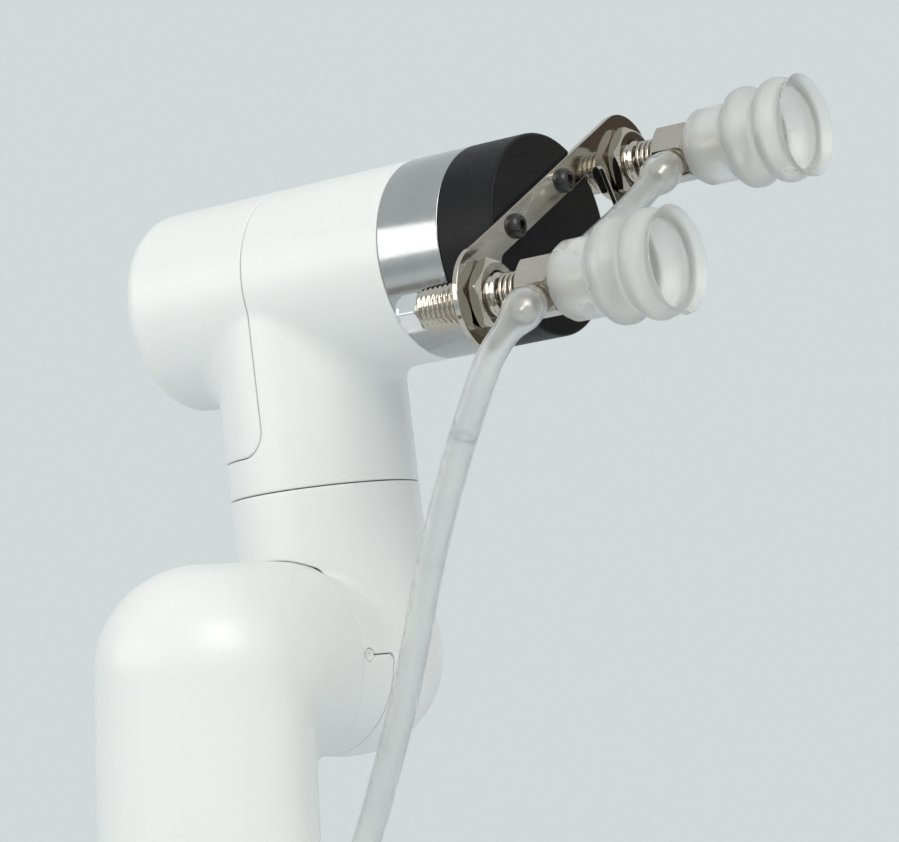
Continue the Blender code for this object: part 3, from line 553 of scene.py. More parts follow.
TOOL_DIRECTION = tuple(TOOL_AXIS)
SHELL = white_shell("white_shell")
RING_METAL = turned_metal("grey_ring", TOOL_DIRECTION, (0.44, 0.45, 0.45), (0.48, 0.49, 0.49), 0.15,
                          5200, 0.000001, 0.9)
ADAPTOR = grained_plastic("black_adaptor", (0.005, 0.005, 0.006), (0.011, 0.01, 0.011), 0.5, 1500,
                          0.00002, TOOL_DIRECTION)
PLATE = brushed_metal("polished_plate", (200, 200, 2600), (0.5, 0.47, 0.42), (0.56, 0.53, 0.48), 0.07,
                      0.0000004)
NICKEL = turned_metal("nickel", TOOL_DIRECTION, (0.5, 0.46, 0.4), (0.58, 0.54, 0.48), 0.11, 3800,
                      0.000001)
ZINC = turned_metal("zinc", TOOL_DIRECTION, (0.74, 0.75, 0.76), (0.82, 0.83, 0.84), 0.2, 3000, 0.000002)
BLACK_STEEL = grained_plastic("black_steel", (0.01, 0.01, 0.01), (0.025, 0.024, 0.023), 0.3, 2400,
                              0.000006, specular=0.6)
CUP = silicone("cup_silicone", (0.97, 0.97, 0.95), (0.94, 0.94, 0.92), 0.72, 0.3, 0.7)
HOSE = silicone("hose_silicone", (0.97, 0.98, 0.97), (0.94, 0.95, 0.95), 0.85, 0.2, 0.6)
ALUMINIUM = brushed_metal("aluminium", (900, 900, 900), (0.5, 0.51, 0.52), (0.62, 0.63, 0.64), 0.36,
                          0.000003)
BASE_METAL = brushed_metal("base_plate", (1500, 1500, 1500), (0.5, 0.51, 0.52), (0.58, 0.59, 0.6), 0.42,
                           0.000008)
PANEL_PLASTIC = grained_plastic("panel_plastic", (0.014, 0.014, 0.015), (0.028, 0.028, 0.03), 0.5, 1800,
                                0.00002)
BOARD = board_material()
MOTOR = turned_metal("motor_can", (0, 0, 1), (0.2, 0.2, 0.21), (0.28, 0.28, 0.29), 0.38, 2000, 0.000006)
GEARBOX = turned_metal("gearbox_steel", (0, 0, 1), (0.42, 0.42, 0.43), (0.5, 0.5, 0.51), 0.3, 2600,
                       0.000004)


# ---------------------------------------------------------------- turned, hexagonal, flat and swept shapes

def rounded(corners, steps=5):
    """Closed outline whose corners (x, y, radius) are rounded."""
    points = []
    for k, (x, y, radius) in enumerate(corners):
        here = Vector((x, y))
        if radius <= 0:
            points.append(here)
            continue
        before = (Vector(corners[k - 1][:2]) - here).normalized()
        after = (Vector(corners[(k + 1) % len(corners)][:2]) - here).normalized()
        reach = radius / tan(before.angle(after) / 2)
        for step in range(steps + 1):
            t = step / steps
            start, end = here + before * reach, here + after * reach
            points.append(start * (1 - t) ** 2 + here * 2 * t * (1 - t) + end * t * t)
    return [tuple(point) for point in points]


def flowing(points, steps=6):
    """Smooth open curve through 2D or 3D points."""
    fixed = [np.array(p, float) for p in points]
    fixed = [2 * fixed[0] - fixed[1]] + fixed + [2 * fixed[-1] - fixed[-2]]
    made = []
    for a, b, c, d in zip(fixed, fixed[1:], fixed[2:], fixed[3:]):
        for step in range(steps):
            t = step / steps
            made.append(b + 0.5 * t * (c - a + t * (2 * a - 5 * b + 4 * c - d + t * (3 * b - a - 3 * c + d))))
    return [tuple(p) for p in made] + [tuple(fixed[-2])]


def loft(rows):
    """Faces between rows of points, closed both ways."""
    width = len(rows[0])
    faces = []
    for k in range(len(rows)):
        m = (k + 1) % len(rows)
        for j in range(width):
            n = (j + 1) % width
            faces.append((k * width + j, m * width + j, m * width + n, k * width + n))
    return [point for row in rows for point in row], faces


def revolve(outline_at, count=96):
    """Solid from a closed outline of (radius, height), which may change with the angle."""
    angles = [2 * pi * k / count for k in range(count)]
    return loft([[(r * cos(a), r * sin(a), z) for r, z in outline_at(a)] for a in angles])


def lathe(outline, count=96):
    """Solid turned from one closed outline of (radius, height)."""
    return revolve(lambda angle: outline, count)


def hex_radius(angle, flats, turn=0.0, broken=0.12):
    """Radius of a hexagon whose first flat faces the turn angle, with slightly broken corners."""
    from_flat = (angle - turn + pi / 6) % (pi / 3) - pi / 6
    return min(flats / 2 / cos(from_flat), flats / 2 / cos(pi / 6) - broken)


def nut(flats, bore, low, high, turn=0.0, rear_dome=0.0):
    """Hex nut with turned 30-degree chamfers; a rear dome makes it a lock nut."""
    seat = flats * 0.475

    def outline(angle):
        r = hex_radius(angle, flats, turn)
        drop = (r - seat) * tan(pi / 6)
        rear = [(bore, low + 0.3), (bore + 0.3, low)]
        if rear_dome:
            dome = [(seat - rear_dome * (1 - sin(t)), low + rear_dome * (1 - cos(t)))
                    for t in (pi / 2 * k / 6 for k in range(7))]
            rear += dome + [(seat, low + rear_dome + 0.2), (r, low + rear_dome + 0.3 + drop)]
        else:
            rear += [(seat, low), (r, low + drop)]
        return rear + [(r, high - drop), (seat, high), (bore + 0.3, high), (bore, high - 0.3)]

    return revolve(outline, 96)


def threaded_tube(radius, bore, low, high, pitch, depth):
    """Tube with an outside screw thread that runs out at both ends."""
    steps = int(round((high - low) / pitch)) * 8

    def outline(angle):
        points = [(bore, low)]
        for k in range(steps + 1):
            z = low + (high - low) * k / steps
            ridge = abs(2 * ((z / pitch - angle / (2 * pi)) % 1) - 1)
            groove = depth * min(1.0, max(0.0, 1.25 * ridge - 0.12))
            lead = 0.7 - min(z - low, high - z, 0.7)
            points.append((radius - max(groove, lead), z))
        return points + [(bore, high)]

    return revolve(outline, 64)


def sweep(path, radius_at, count=28):
    """Rings round a path; radius_at gives the radius at a distance along it."""
    points = [Vector(p) for p in path]
    travelled, rows = 0.0, []
    side = Vector((0.3, 0.5, 0.8))
    for k, point in enumerate(points):
        ahead = (points[min(k + 1, len(points) - 1)] - points[max(k - 1, 0)]).normalized()
        side = (side - ahead * side.dot(ahead)).normalized()
        across = ahead.cross(side)
        if k:
            travelled += (point - points[k - 1]).length
        radius = radius_at(travelled)
        rows.append([tuple(point + (side * cos(a) + across * sin(a)) * radius)
                     for a in (2 * pi * j / count for j in range(count))])
    return rows


def hollow(outer, inner):
    """Tube wall between outer and inner rings."""
    return loft(outer + inner[::-1])


def solid_sweep(rows):
    """Rod from rings, closed by its end rings."""
    points, faces = loft(rows)
    width = len(rows[0])
    faces = faces[:-width]
    faces.append(tuple(range(width)))
    faces.append(tuple(range(len(points) - 1, len(points) - 1 - width, -1)))
    return points, faces


def circle(x, y, radius, count=48):
    """Closed round outline."""
    return [(x + radius * cos(2 * pi * k / count), y + radius * sin(2 * pi * k / count))
            for k in range(count)]


def plate(outlines, low, high, edge):
    """Flat plate from closed outlines, the first outside and the rest holes, with rounded edges."""
    data = bpy.data.curves.new("outline", "CURVE")
    data.dimensions = "2D"
    data.fill_mode = "BOTH"
    data.extrude = (high - low) / 2 - edge
    data.bevel_depth = edge
    data.bevel_resolution = 2
    data.offset = -edge
    for outline in outlines:
        spline = data.splines.new("POLY")
        spline.points.add(len(outline) - 1)
        for point, (x, y) in zip(spline.points, outline):
            point.co = (x, y, 0, 1)
        spline.use_cyclic_u = True
    holder = bpy.data.objects.new("outline", data)
    mesh = bpy.data.meshes.new_from_object(holder)
    bpy.data.objects.remove(holder)
    middle = (low + high) / 2
    points = [(v.co.x, v.co.y, v.co.z + middle) for v in mesh.vertices]
    faces = [tuple(f.vertices) for f in mesh.polygons]
    bpy.data.meshes.remove(mesh)
    return points, faces


def even_shading(made):
    """Keep large flat faces flat-looking beside small rounded edges."""
    modifier = made.modifiers.new("even_shading", "WEIGHTED_NORMAL")
    modifier.keep_sharp = True
    return made


# ---------------------------------------------------------------- pieces

def piece(name, points, faces, place, body, material, slot, replaces=(), sharp=SMOOTH_ANGLE):
    """One finished object: clean, smooth-shaded mesh in the shared frame, riding on its body."""
    mesh = bpy.data.meshes.new(name)
    world = np.array(place)
    points = np.asarray(points, float) @ world[:3, :3].T + world[:3, 3]
    mesh.from_pydata(points.tolist(), [], [[int(k) for k in face] for face in faces])
    bm = bmesh.new()
    bm.from_mesh(mesh)
    bmesh.ops.remove_doubles(bm, verts=bm.verts, dist=1e-6)
    bmesh.ops.dissolve_degenerate(bm, dist=1e-6, edges=bm.edges)
    bmesh.ops.recalc_face_normals(bm, faces=bm.faces)
    bm.to_mesh(mesh)
    bm.free()
    mesh.shade_smooth()
    mesh.set_sharp_from_angle(angle=sharp)
    mesh.materials.append(material)
    made = bpy.data.objects.new(name, mesh)
    bpy.context.scene.collection.objects.link(made)
    if body:
        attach(made, body)
    if replaces:
        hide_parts(*replaces)
    return made


# ---------------------------------------------------------------- housings

SHOULDER_FOOT_RADIUS = 42
SHOULDER_RADIUS = 38
ELBOW_SEAM = 42
UPPER_ARM_X = 80
UPPER_ARM_RADII = (33, 31)
FOREARM_RADII = (30, 28.4)
WRIST_SEAM = 33.45
STUB_RADIUS = 26.6
TUBE_RADIUS = 25.75
BALL_RADIUS = TUBE_RADIUS + 0.55
BALL_BLEND = 3
TUBE_SEAM = 45
OVERHANG_RADIUS = 26.75
COLLAR_END = 45.5
COLLAR_RISE = -1.2
PLUG_X = 36.2
PLUG_RADIUS = 1.7
TEE_RADIUS = 27
TEE_REAR = 42.6
TEE_FRONT = 45.5
TEE_EDGE = 6
TEE_FLARE = 0.06
DOME_DROP = 0.048
COVER_LOW = 55.3
COVER_CORNER = 7
WALL, SHOULDER_WALL, WRIST_1_WALL, COLLAR_WALL = 3, 5.5, 5, 2.1
SHOULDER_FILLET, UPPER_ARM_FILLET, FOREARM_FILLET, WRIST_1_FILLET, WRIST_2_FILLET = 14, 14, 12, 6, 7.5
BEYOND = 30


def shoulder_field(p):
    """Vertical column that turns off along +X at the joint-2 axis; its fillet fades out at the seam."""
    column = tube(p, (0, 0, -SHOULDER_RISE - BEYOND), (0, 0, 0),
                  SHOULDER_FOOT_RADIUS, SHOULDER_RADIUS)
    stub = tube(p, (0, 0, 0), (ELBOW_SEAM + BEYOND, 0, 0), SHOULDER_RADIUS)
    fillet = SHOULDER_FILLET * np.clip((ELBOW_SEAM - 1 - p[:, 0]) / 7, 0, 1)
    return join(column, stub, fillet)[0]


def upper_arm_field(p):
    """Tube beside the shoulder with both ends turned towards -X."""
    foot, top = UPPER_ARM_RADII
    low, high = (UPPER_ARM_X, 0, 0), (UPPER_ARM_X, 0, UPPER_ARM_LENGTH)
    upright = tube(p, low, high, foot, top)
    lower = tube(p, low, (ELBOW_SEAM - BEYOND, 0, 0), foot)
    upper = tube(p, high, (ELBOW_SEAM - BEYOND, 0, UPPER_ARM_LENGTH), top)
    return join(join(upright, lower, UPPER_ARM_FILLET), upper, UPPER_ARM_FILLET)[0]


def forearm_field(p):
    """Tube over the base column with both ends turned towards +X; its top is slightly flattened."""
    foot, top = FOREARM_RADII
    low, high = (0, 0, 0), (0, 0, FOREARM_LENGTH)
    fade = np.clip(1 - p[:, 0] / (WRIST_SEAM - 5), 0, 1)
    p = p.copy()
    p[:, 2] += DOME_DROP * fade * np.maximum(p[:, 2] - FOREARM_LENGTH, 0)
    upright = tube(p, low, high, foot, top)
    lower = tube(p, low, (ELBOW_SEAM + BEYOND, 0, 0), foot)
    upper = tube(p, high, (WRIST_SEAM, 0, FOREARM_LENGTH), top, STUB_RADIUS)
    upper_tail = tube(p, (WRIST_SEAM, 0, FOREARM_LENGTH), (WRIST_SEAM + BEYOND, 0, FOREARM_LENGTH),
                      STUB_RADIUS)
    tubes = join(join(upright, lower, FOREARM_FILLET), upper, FOREARM_FILLET)
    return np.minimum(tubes[0], upper_tail[0])


def wrist_1_field(p):
    """Joint-4 stub along -X, ball corner and upright tube."""
    corner = (WRIST_X, 0, 0)
    upright = tube(p, corner, (WRIST_X, 0, TUBE_SEAM + BEYOND), TUBE_RADIUS)
    stub = tube(p, corner, (0, 0, 0), TUBE_RADIUS, STUB_RADIUS)
    fillet = WRIST_1_FILLET * np.clip((p[:, 0] - WRIST_SEAM + 2) / 8, 0, 1)
    d = join(upright, stub, fillet)[0]
    ball = np.linalg.norm(p - np.array(corner), axis=1) - BALL_RADIUS
    h = np.maximum(BALL_BLEND - np.abs(d - ball), 0) / BALL_BLEND
    return np.minimum(d, ball) - h * h * BALL_BLEND / 4


def wrist_2_field(p):
    """T-shaped housing: a drum along the joint-6 axis, slightly deeper at the rear, on a stem."""
    flare = TEE_FLARE * np.clip(p[:, 1] / TEE_REAR, 0, 1)
    q = p.copy()
    q[:, 2] -= flare * np.minimum(p[:, 2] - TEE_Z, 0)
    cross = drum(q, (0, 0, TEE_Z), (0, 1, 0), TEE_RADIUS, TEE_REAR, TEE_EDGE)
    stem = tube(p, (0, 0, TUBE_SEAM - BEYOND), (0, 0, TEE_Z), TUBE_RADIUS)
    return join(cross, stem, WRIST_2_FILLET)[0]


def below(height, axis=2):
    """Level that keeps what lies below a height along an axis."""
    return lambda p: p[:, axis] - height


def above(height, axis=2):
    """Level that keeps what lies above a height along an axis."""
    return lambda p: height - p[:, axis]


def cover_region(p):
    """Distance outside the rear cover's region: behind the stem's middle and above the low seam."""
    return soft_max(-p[:, 1], COVER_LOW - p[:, 2], COVER_CORNER)


def plug_pocket(p):
    """Level that keeps what lies outside the round pocket of the collar screw."""
    return np.where(p[:, 1] < 0, PLUG_RADIUS - np.hypot(p[:, 0] - PLUG_X, p[:, 2] - COLLAR_RISE), -9)


def stub_level(p):
    """Level that keeps wrist 1: beyond the joint-4 seam, above the collar, and round its screw."""
    outside_stub = OVERHANG_RADIUS - np.hypot(p[:, 1], p[:, 2])
    beyond_seam = soft_min(WRIST_SEAM - p[:, 0], outside_stub, 0.4)
    collar = soft_min(COLLAR_END - p[:, 0], COLLAR_RISE - p[:, 2], 1.2)
    return soft_max(soft_max(beyond_seam, collar, 0.6), plug_pocket(p), 0.3)


def collar_level(p):
    """Level that keeps the collar: between the joint-4 seam and its end, below its upper edge."""
    ends = np.maximum(WRIST_SEAM - p[:, 0], p[:, 0] - COLLAR_END)
    return soft_max(soft_max(ends, p[:, 2] - COLLAR_RISE, 1.0), plug_pocket(p), 0.3)


def housing(name, field, low, high, step, levels, place, body, replaces, wall=WALL, fine=()):
    """A white moulded housing from its field."""
    points, faces = shell(field, low, high, step, levels, wall, fine)
    return piece(name, points, faces, place, body, SHELL, "white_shell", replaces)


def build_housings():
    """Shoulder, upper arm, forearm, wrist 1 with its collar, and wrist 2 with its rear cover."""
    housing("shoulder_shell", shoulder_field, (-48, -48, -70), (60, 48, 44), 1.6,
            [above(-SHOULDER_RISE), below(ELBOW_SEAM, 0)], SHOULDER, "shoulder", ["shoulder_housing"],
            wall=SHOULDER_WALL)
    housing("upper_arm_shell", upper_arm_field, (26, -38, -38), (118, 38, UPPER_ARM_LENGTH + 36), 1.6,
            [above(ELBOW_SEAM, 0)], UPPER_ARM, "upper_arm", ["upper_arm_housing"])
    middle = FOREARM_LENGTH / 2
    housing("forearm_shell", forearm_field, (-34, -34, -34), (60, 34, FOREARM_LENGTH + 33), 1.4,
            [lambda p: p[:, 0] - np.where(p[:, 2] < middle, ELBOW_SEAM, WRIST_SEAM)],
            FOREARM, "forearm", ["forearm_housing"])
    plug = [((PLUG_X, -STUB_RADIUS, COLLAR_RISE), 5, 1)]
    housing("wrist_1_shell", wrist_1_field, (14, -30, -30), (86, 30, 58), 0.9,
            [stub_level, below(TUBE_SEAM)], WRIST_1, "wrist_1", ["wrist_1_housing"],
            wall=WRIST_1_WALL, fine=plug)
    housing("collar_shell", wrist_1_field, (14, -30, -30), (86, 30, 10), 0.9, [collar_level], WRIST_1,
            "wrist_1", ["wrist_1_collar"], wall=COLLAR_WALL, fine=plug)
    housing("wrist_2_shell", wrist_2_field, (-31, -60, 24), (31, 50, TEE_Z + 31), 1.1,
            [lambda p: -cover_region(p), above(TUBE_SEAM), above(-TEE_FRONT, 1)], WRIST_2, "wrist_2",
            ["wrist_2_housing"])
    housing("rear_cover_shell", wrist_2_field, (-31, -20, 40), (31, 50, TEE_Z + 31), 1.1,
            [cover_region], WRIST_2, "wrist_2", ["wrist_2_rear_cover"])


# ---------------------------------------------------------------- gripper

RING_LOW, RING_HIGH = 45.65, 64.9
RING_BORE = 20
ADAPTOR_LOW, ADAPTOR_HIGH = 65.2, 82.2
BRACKET_LOW, BRACKET_HIGH = 82.5, 84.0
EAR_RADIUS = 14
EAR_INNER = 31
STRIP_LOW = 6
NOTCH_FILLET = 3
EAR_HOLE = 6.3
SCREW_U = (-16.5, 12.5)
SCREW_V = 9.5
SCREW_HEAD, SCREW_HEIGHT, SCREW_SOCKET = 3.3, 2.2, 2.5
SCREW_SHANK, SCREW_REAR, SCREW_HOLE = 1.5, 74.4, 1.7
THREAD_RADIUS, THREAD_PITCH, THREAD_DEPTH = 6, 1.5, 0.78
SLEEVE_LOW, SLEEVE_HIGH, SLEEVE_BORE = 65.3, 89.3, 3.3
CLAMP_FLATS, CLAMP_HEIGHT = 18, 3.6
CLAMP_TURN = radians(-10)
LOCK_FLATS, LOCK_LOW = 10, 57.4
LOCK_TURN = radians(8)
ROD_RADIUS, ROD_LOW = 3, 56.8
SPRING_RADIUS, SPRING_WIRE, SPRING_TURNS = 4.9, 0.55, 3.5
FITTING_LOW, FITTING_HIGH, FITTING_FLATS = 96.6, 106.9, 14.5
FITTING_MIDDLE = (FITTING_LOW + FITTING_HIGH) / 2
NIPPLE_RADIUS, NIPPLE_END = 3.6, 117
CUP_LOW = 107.3
BODY_GAP = 0.3
SEAT_GAP = 0.05


def build_ring():
    """Grey turned ring and the black adaptor in front of it."""
    outline = rounded([(RING_BORE, RING_LOW, 0.3), (TEE_RADIUS, RING_LOW, 0.35),
                       (TEE_RADIUS, RING_HIGH, 0.35), (RING_BORE, RING_HIGH, 0.3)])
    piece("ring_turned", *lathe(outline, 160), TOOL, "tool", RING_METAL, "grey_ring", ["flange_ring"])
    outline = rounded([(0, ADAPTOR_LOW, 0), (TEE_RADIUS, ADAPTOR_LOW, 0.35),
                       (TEE_RADIUS, ADAPTOR_HIGH, 1.0), (0, ADAPTOR_HIGH, 0)])
    even_shading(piece("adaptor_body", *lathe(outline, 160), TOOL, "tool", ADAPTOR, "black_adaptor",
                       ["tool_adaptor"]))


def button_screw(head, height, socket, seat, rear, shank):
    """Button-head screw with a hex socket in its dome."""
    top = seat + height

    def outline(angle):
        hole = hex_radius(angle, socket, 0, 0.05)
        low = top - height * 0.6
        dome = [(head * 0.45 + (head * 0.55) * sin(t), seat + 0.3 + (height - 0.3) * cos(t))
                for t in (pi / 2 * k / 8 for k in range(9))]
        return ([(0, low), (hole, low), (hole, top - 0.1), (hole + 0.1, top)] + dome +
                [(head, seat), (shank, seat), (shank, rear), (0, rear)])

    return revolve(outline, 72)


def bracket_outline():
    """C shape: a straight strip on top and a round ear at each end."""
    low = -pi + np.arccos((EAR_OFFSET - EAR_INNER) / EAR_RADIUS)
    ear = [(EAR_OFFSET + EAR_RADIUS * cos(a), EAR_RADIUS * sin(a))
           for a in np.linspace(pi / 2, low, 40)]
    inner, under = EAR_INNER - NOTCH_FILLET, STRIP_LOW - NOTCH_FILLET
    notch = [(inner + NOTCH_FILLET * cos(a), under + NOTCH_FILLET * sin(a))
             for a in np.linspace(0, pi / 2, 8)]
    half = ear + notch
    mirrored = [(-x, y) for x, y in reversed(half)]
    return [(x + BRACKET_MIDDLE, y) for x, y in half + mirrored]


def build_bracket():
    """Polished sheet-steel bracket and its two black screws."""
    holes = [circle(u, 0, EAR_HOLE, 64) for u in HOLDER_U]
    holes += [circle(u, SCREW_V, SCREW_HOLE, 32) for u in SCREW_U]
    made = piece("bracket_sheet", *plate([bracket_outline()] + holes, BRACKET_LOW, BRACKET_HIGH, 0.22),
                 TOOL, "tool", PLATE, "polished_plate", ["gripper_bracket"])
    even_shading(made)
    for k, u in enumerate(SCREW_U):
        points, faces = button_screw(SCREW_HEAD, SCREW_HEIGHT, SCREW_SOCKET, BRACKET_HIGH + SEAT_GAP,
                                     SCREW_REAR, SCREW_SHANK)
        piece("button_screw_%d" % (k + 1), points, faces, TOOL @ Matrix.Translation((u, SCREW_V, 0)),
              "tool", BLACK_STEEL, "black_steel", ["bracket_screw_%d" % (k + 1)])


def build_holder(tag, place):
    """Threaded sleeve and its two clamp nuts, fixed to the bracket."""
    tube_mesh = threaded_tube(THREAD_RADIUS, SLEEVE_BORE, SLEEVE_LOW, SLEEVE_HIGH, THREAD_PITCH,
                              THREAD_DEPTH)
    piece("sleeve_thread_" + tag, *tube_mesh, place, "tool", NICKEL, "nickel", ["guide_sleeve_" + tag],
          radians(60))
    bore = THREAD_RADIUS + BODY_GAP
    rear = BRACKET_LOW - SEAT_GAP - CLAMP_HEIGHT
    front = BRACKET_HIGH + SEAT_GAP
    for name, low in (("rear_nut", rear), ("front_nut", front)):
        points, faces = nut(CLAMP_FLATS, bore, low, low + CLAMP_HEIGHT, CLAMP_TURN)
        even_shading(piece("%s_hex_%s" % (name, tag), points, faces, place, "tool", NICKEL, "nickel",
                           ["%s_%s" % (name, tag)], radians(25)))


def build_slider(tag, place, body, sides):
    """Rod, lock nut, hex fitting and barbs that move with one cup."""
    outline = rounded([(0, ROD_LOW, 0), (ROD_RADIUS, ROD_LOW, 0.7),
                       (ROD_RADIUS, FITTING_LOW - BODY_GAP, 0.1), (0, FITTING_LOW - BODY_GAP, 0)])
    piece("rod_" + tag, *lathe(outline, 48), place, body, NICKEL, "nickel", ["plunger_rod_" + tag])
    points, faces = nut(LOCK_FLATS, ROD_RADIUS + BODY_GAP, LOCK_LOW, SLEEVE_LOW - BODY_GAP, LOCK_TURN, 1.6)
    even_shading(piece("lock_nut_hex_" + tag, points, faces, place, body, ZINC, "nickel",
                       ["lock_nut_" + tag], radians(25)))
    seat = FITTING_FLATS * 0.49

    def body_outline(angle):
        r = hex_radius(angle, FITTING_FLATS)
        drop = (r - seat) * tan(pi / 6)
        return [(0, FITTING_LOW), (seat, FITTING_LOW), (r, FITTING_LOW + drop), (r, FITTING_HIGH - drop),
                (seat, FITTING_HIGH), (NIPPLE_RADIUS, FITTING_HIGH), (NIPPLE_RADIUS, NIPPLE_END - 0.8),
                (NIPPLE_RADIUS - 0.8, NIPPLE_END), (0, NIPPLE_END)]

    even_shading(piece("fitting_body_" + tag, *revolve(body_outline), place, body, NICKEL, "nickel",
                       ["hose_fitting_" + tag], radians(25)))
    root = FITTING_FLATS / 2 + 0.02
    barb = rounded([(0, root, 0), (3.4, root, 0.1), (4.1, root + 0.5, 0.3), (4.1, root + 1.5, 0.4),
                    (2.3, root + 1.7, 0.1), (2.3, 12.6, 0.2), (3.2, 13.3, 0.6), (3.2, 14.6, 0.8),
                    (2.0, 15.9, 0.3), (1.5, 16.6, 0.3), (0, 16.6, 0)])
    for side in sides:
        turn = Matrix.Translation((0, 0, FITTING_MIDDLE)) @ Matrix.Rotation(side * pi / 2, 4, "Y")
        name = "barb_%s_%s" % (tag, "outer" if side < 0 else "inner")
        piece(name, *lathe(barb, 48), place @ turn, body, NICKEL, "nickel")


def build_spring(tag, place):
    """Buffer spring between sleeve and fitting, built as a fixed coil; the real one flattens as the cup is
    pushed back.
    """
    low = SLEEVE_HIGH + BODY_GAP + SPRING_WIRE
    high = FITTING_LOW - BODY_GAP - SPRING_WIRE
    steps = int(SPRING_TURNS * 32)
    path = [(SPRING_RADIUS * cos(2 * pi * k / 32), SPRING_RADIUS * sin(2 * pi * k / 32),
             low + (high - low) * k / steps) for k in range(steps + 1)]
    made = piece("spring_coil_" + tag, *solid_sweep(sweep(path, lambda along: SPRING_WIRE, 12)), place,
                 "tool", NICKEL, "nickel", ["buffer_spring_" + tag])
    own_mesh(made)


def cup_outline():
    """Bellows cup: collar, one full fold, a half fold and a thin flared lip, outside then inside."""
    outside = [(10.3, 2.4), (10.35, 6.5), (10.4, 11.4), (11.4, 13.0), (13.1, 14.6), (13.55, 16.4),
               (13.2, 18.3), (11.6, 20.2), (10.9, 21.4), (11.6, 22.7), (13.4, 24.2), (14.05, 26.2),
               (13.6, 28.4), (12.7, 29.7), (12.45, 30.6), (12.9, 31.7), (13.7, 32.9)]
    inside = [(13.5, 33.1), (12.1, 31.6), (11.1, 30.2), (11.4, 28.6), (12.3, 26.6), (11.6, 24.9),
              (9.9, 23.1), (9.3, 21.4), (9.9, 19.9), (11.4, 18.0), (11.8, 16.4), (10.8, 14.8),
              (9.0, 13.4), (8.7, 12.4)]
    collar = rounded([(4.0, 0, 0.3), (8.9, 0, 1.2), (10.3, 2.4, 0)])[:-1]
    floor = [(8.0, 11.2), (4.0, 10.7)]
    return [(r, CUP_LOW + z) for r, z in collar + flowing(outside, 4) + flowing(inside, 4) + floor]


def build_cups():
    """Both holders with everything on them."""
    for tag, u, sides in (("a", HOLDER_U[0], (-1, 1)), ("b", HOLDER_U[1], (-1,))):
        place = TOOL @ Matrix.Translation((u, 0, 0))
        body = "suction_" + tag
        build_holder(tag, place)
        build_slider(tag, place, body, sides)
        build_spring(tag, place)
        piece("cup_bellows_" + tag, *lathe(cup_outline(), 128), place, body, CUP, "silicone",
              ["suction_cup_" + tag], radians(50))


# ---------------------------------------------------------------- hoses

HOSE_RADIUS, HOSE_BORE = 3.6, 2.5
HOSE_START = 9.3
BULB_RADIUS, BULB_MIDDLE, BULB_LENGTH = 5.3, 5.2, 13.0
SUPPLY_POINTS = ((-46, -90, 80), (-46, -84, 68), (-44, -75, 50), (-42, -66, 28), (-40, -56, -4),
                 (-40, -46.5, -32), (-40, -41, -46))
SUPPLY_CUTS = (0, 45, 60, 75)       # where each length starts, as steps along the path


def bulb(along):
    """Extra radius of a hose end stretched over its barb, at a distance from that end."""
    if along >= BULB_LENGTH:
        return 0.0
    if along < BULB_MIDDLE:
        return (BULB_RADIUS - HOSE_RADIUS) * (0.55 + 0.45 * sin(pi / 2 * along / BULB_MIDDLE))
    fall = (along - BULB_MIDDLE) / (BULB_LENGTH - BULB_MIDDLE)
    return (BULB_RADIUS - HOSE_RADIUS) * (0.5 + 0.5 * cos(pi * fall))


def hose_piece(name, path, bulb_at, replaces=()):
    """One length of hose, in the shared frame; bulb_at gives the extra radius along it."""
    outer = sweep(path, lambda along: HOSE_RADIUS + bulb_at(along))
    inner = sweep(path, lambda along: HOSE_BORE + bulb_at(along))
    return piece(name, *hollow(outer, inner), Matrix.Scale(MM, 4), None, HOSE, "silicone", replaces)


def build_link_hose():
    """Hose between the two fittings, in two halves that meet in the middle."""
    u, t = EAR_OFFSET - HOSE_START, FITTING_MIDDLE
    bend = [(-u, 0), (-u + 3, 0), (-u + 8, -0.1), (-15, -0.7), (0, -1), (15, -0.7), (u - 8, -0.1),
            (u - 3, 0), (u, 0)]
    path = flowing([(BRACKET_MIDDLE + x, y, t) for x, y in bend], 8)
    path = [tuple((TOOL @ Vector(p)) / MM) for p in path]
    half = len(path) // 2
    near = hose_piece("link_hose_near", path[:half + 1], bulb, ["link_hose"])
    far = hose_piece("link_hose_far", path[half:][::-1], bulb)
    for made, body, side in ((near, "suction_a", -1), (far, "suction_b", 1)):
        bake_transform(made)


def build_supply_hose():
    """Hose that hangs from holder a, in four lengths that meet end to end."""
    barb = Vector((HOLDER_U[0], 0, FITTING_MIDDLE))
    head = [TOOL @ (barb - Vector((d, 0, 0))) / MM for d in (HOSE_START, 11.5, 14.5)]
    wrist = pivot("wrist_pitch") / MM + Vector((WRIST_X, 0, 0))
    tail = [wrist + Vector(offset) for offset in SUPPLY_POINTS]
    path = flowing([tuple(p) for p in head + tail], 10)
    cuts = SUPPLY_CUTS + (len(path) - 1,)
    for k in range(4):
        stretch = path[cuts[k]:cuts[k + 1] + 1]
        made = hose_piece("supply_hose_%d" % (k + 1), stretch, bulb if k == 0 else lambda along: 0.0,
                          ["supply_hose"] if k == 0 else ())
        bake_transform(made)


# ---------------------------------------------------------------- base

PLATE_RADIUS, PLATE_HIGH = 78, 8
BOLT_CIRCLE, BOLT_HOLE = 71, 3.3
BASE_SCREW_CIRCLE = 60
BASE_SCREW_ANGLES = [radians(a) for a in (25, 155, 205, 335)]
FLANGE_RADIUS, FLANGE_HIGH = 64, 13
FOOT_RADIUS, WAIST_RADIUS, WAIST_HEIGHT, TOP_RADIUS = 56, 46, 60, 44
PANEL_HALF, PANEL_LOW, PANEL_HIGH, PANEL_REAR, PANEL_FACE = 26, 16, 44, 44, 58
SOCKET_DEPTH = 3.5


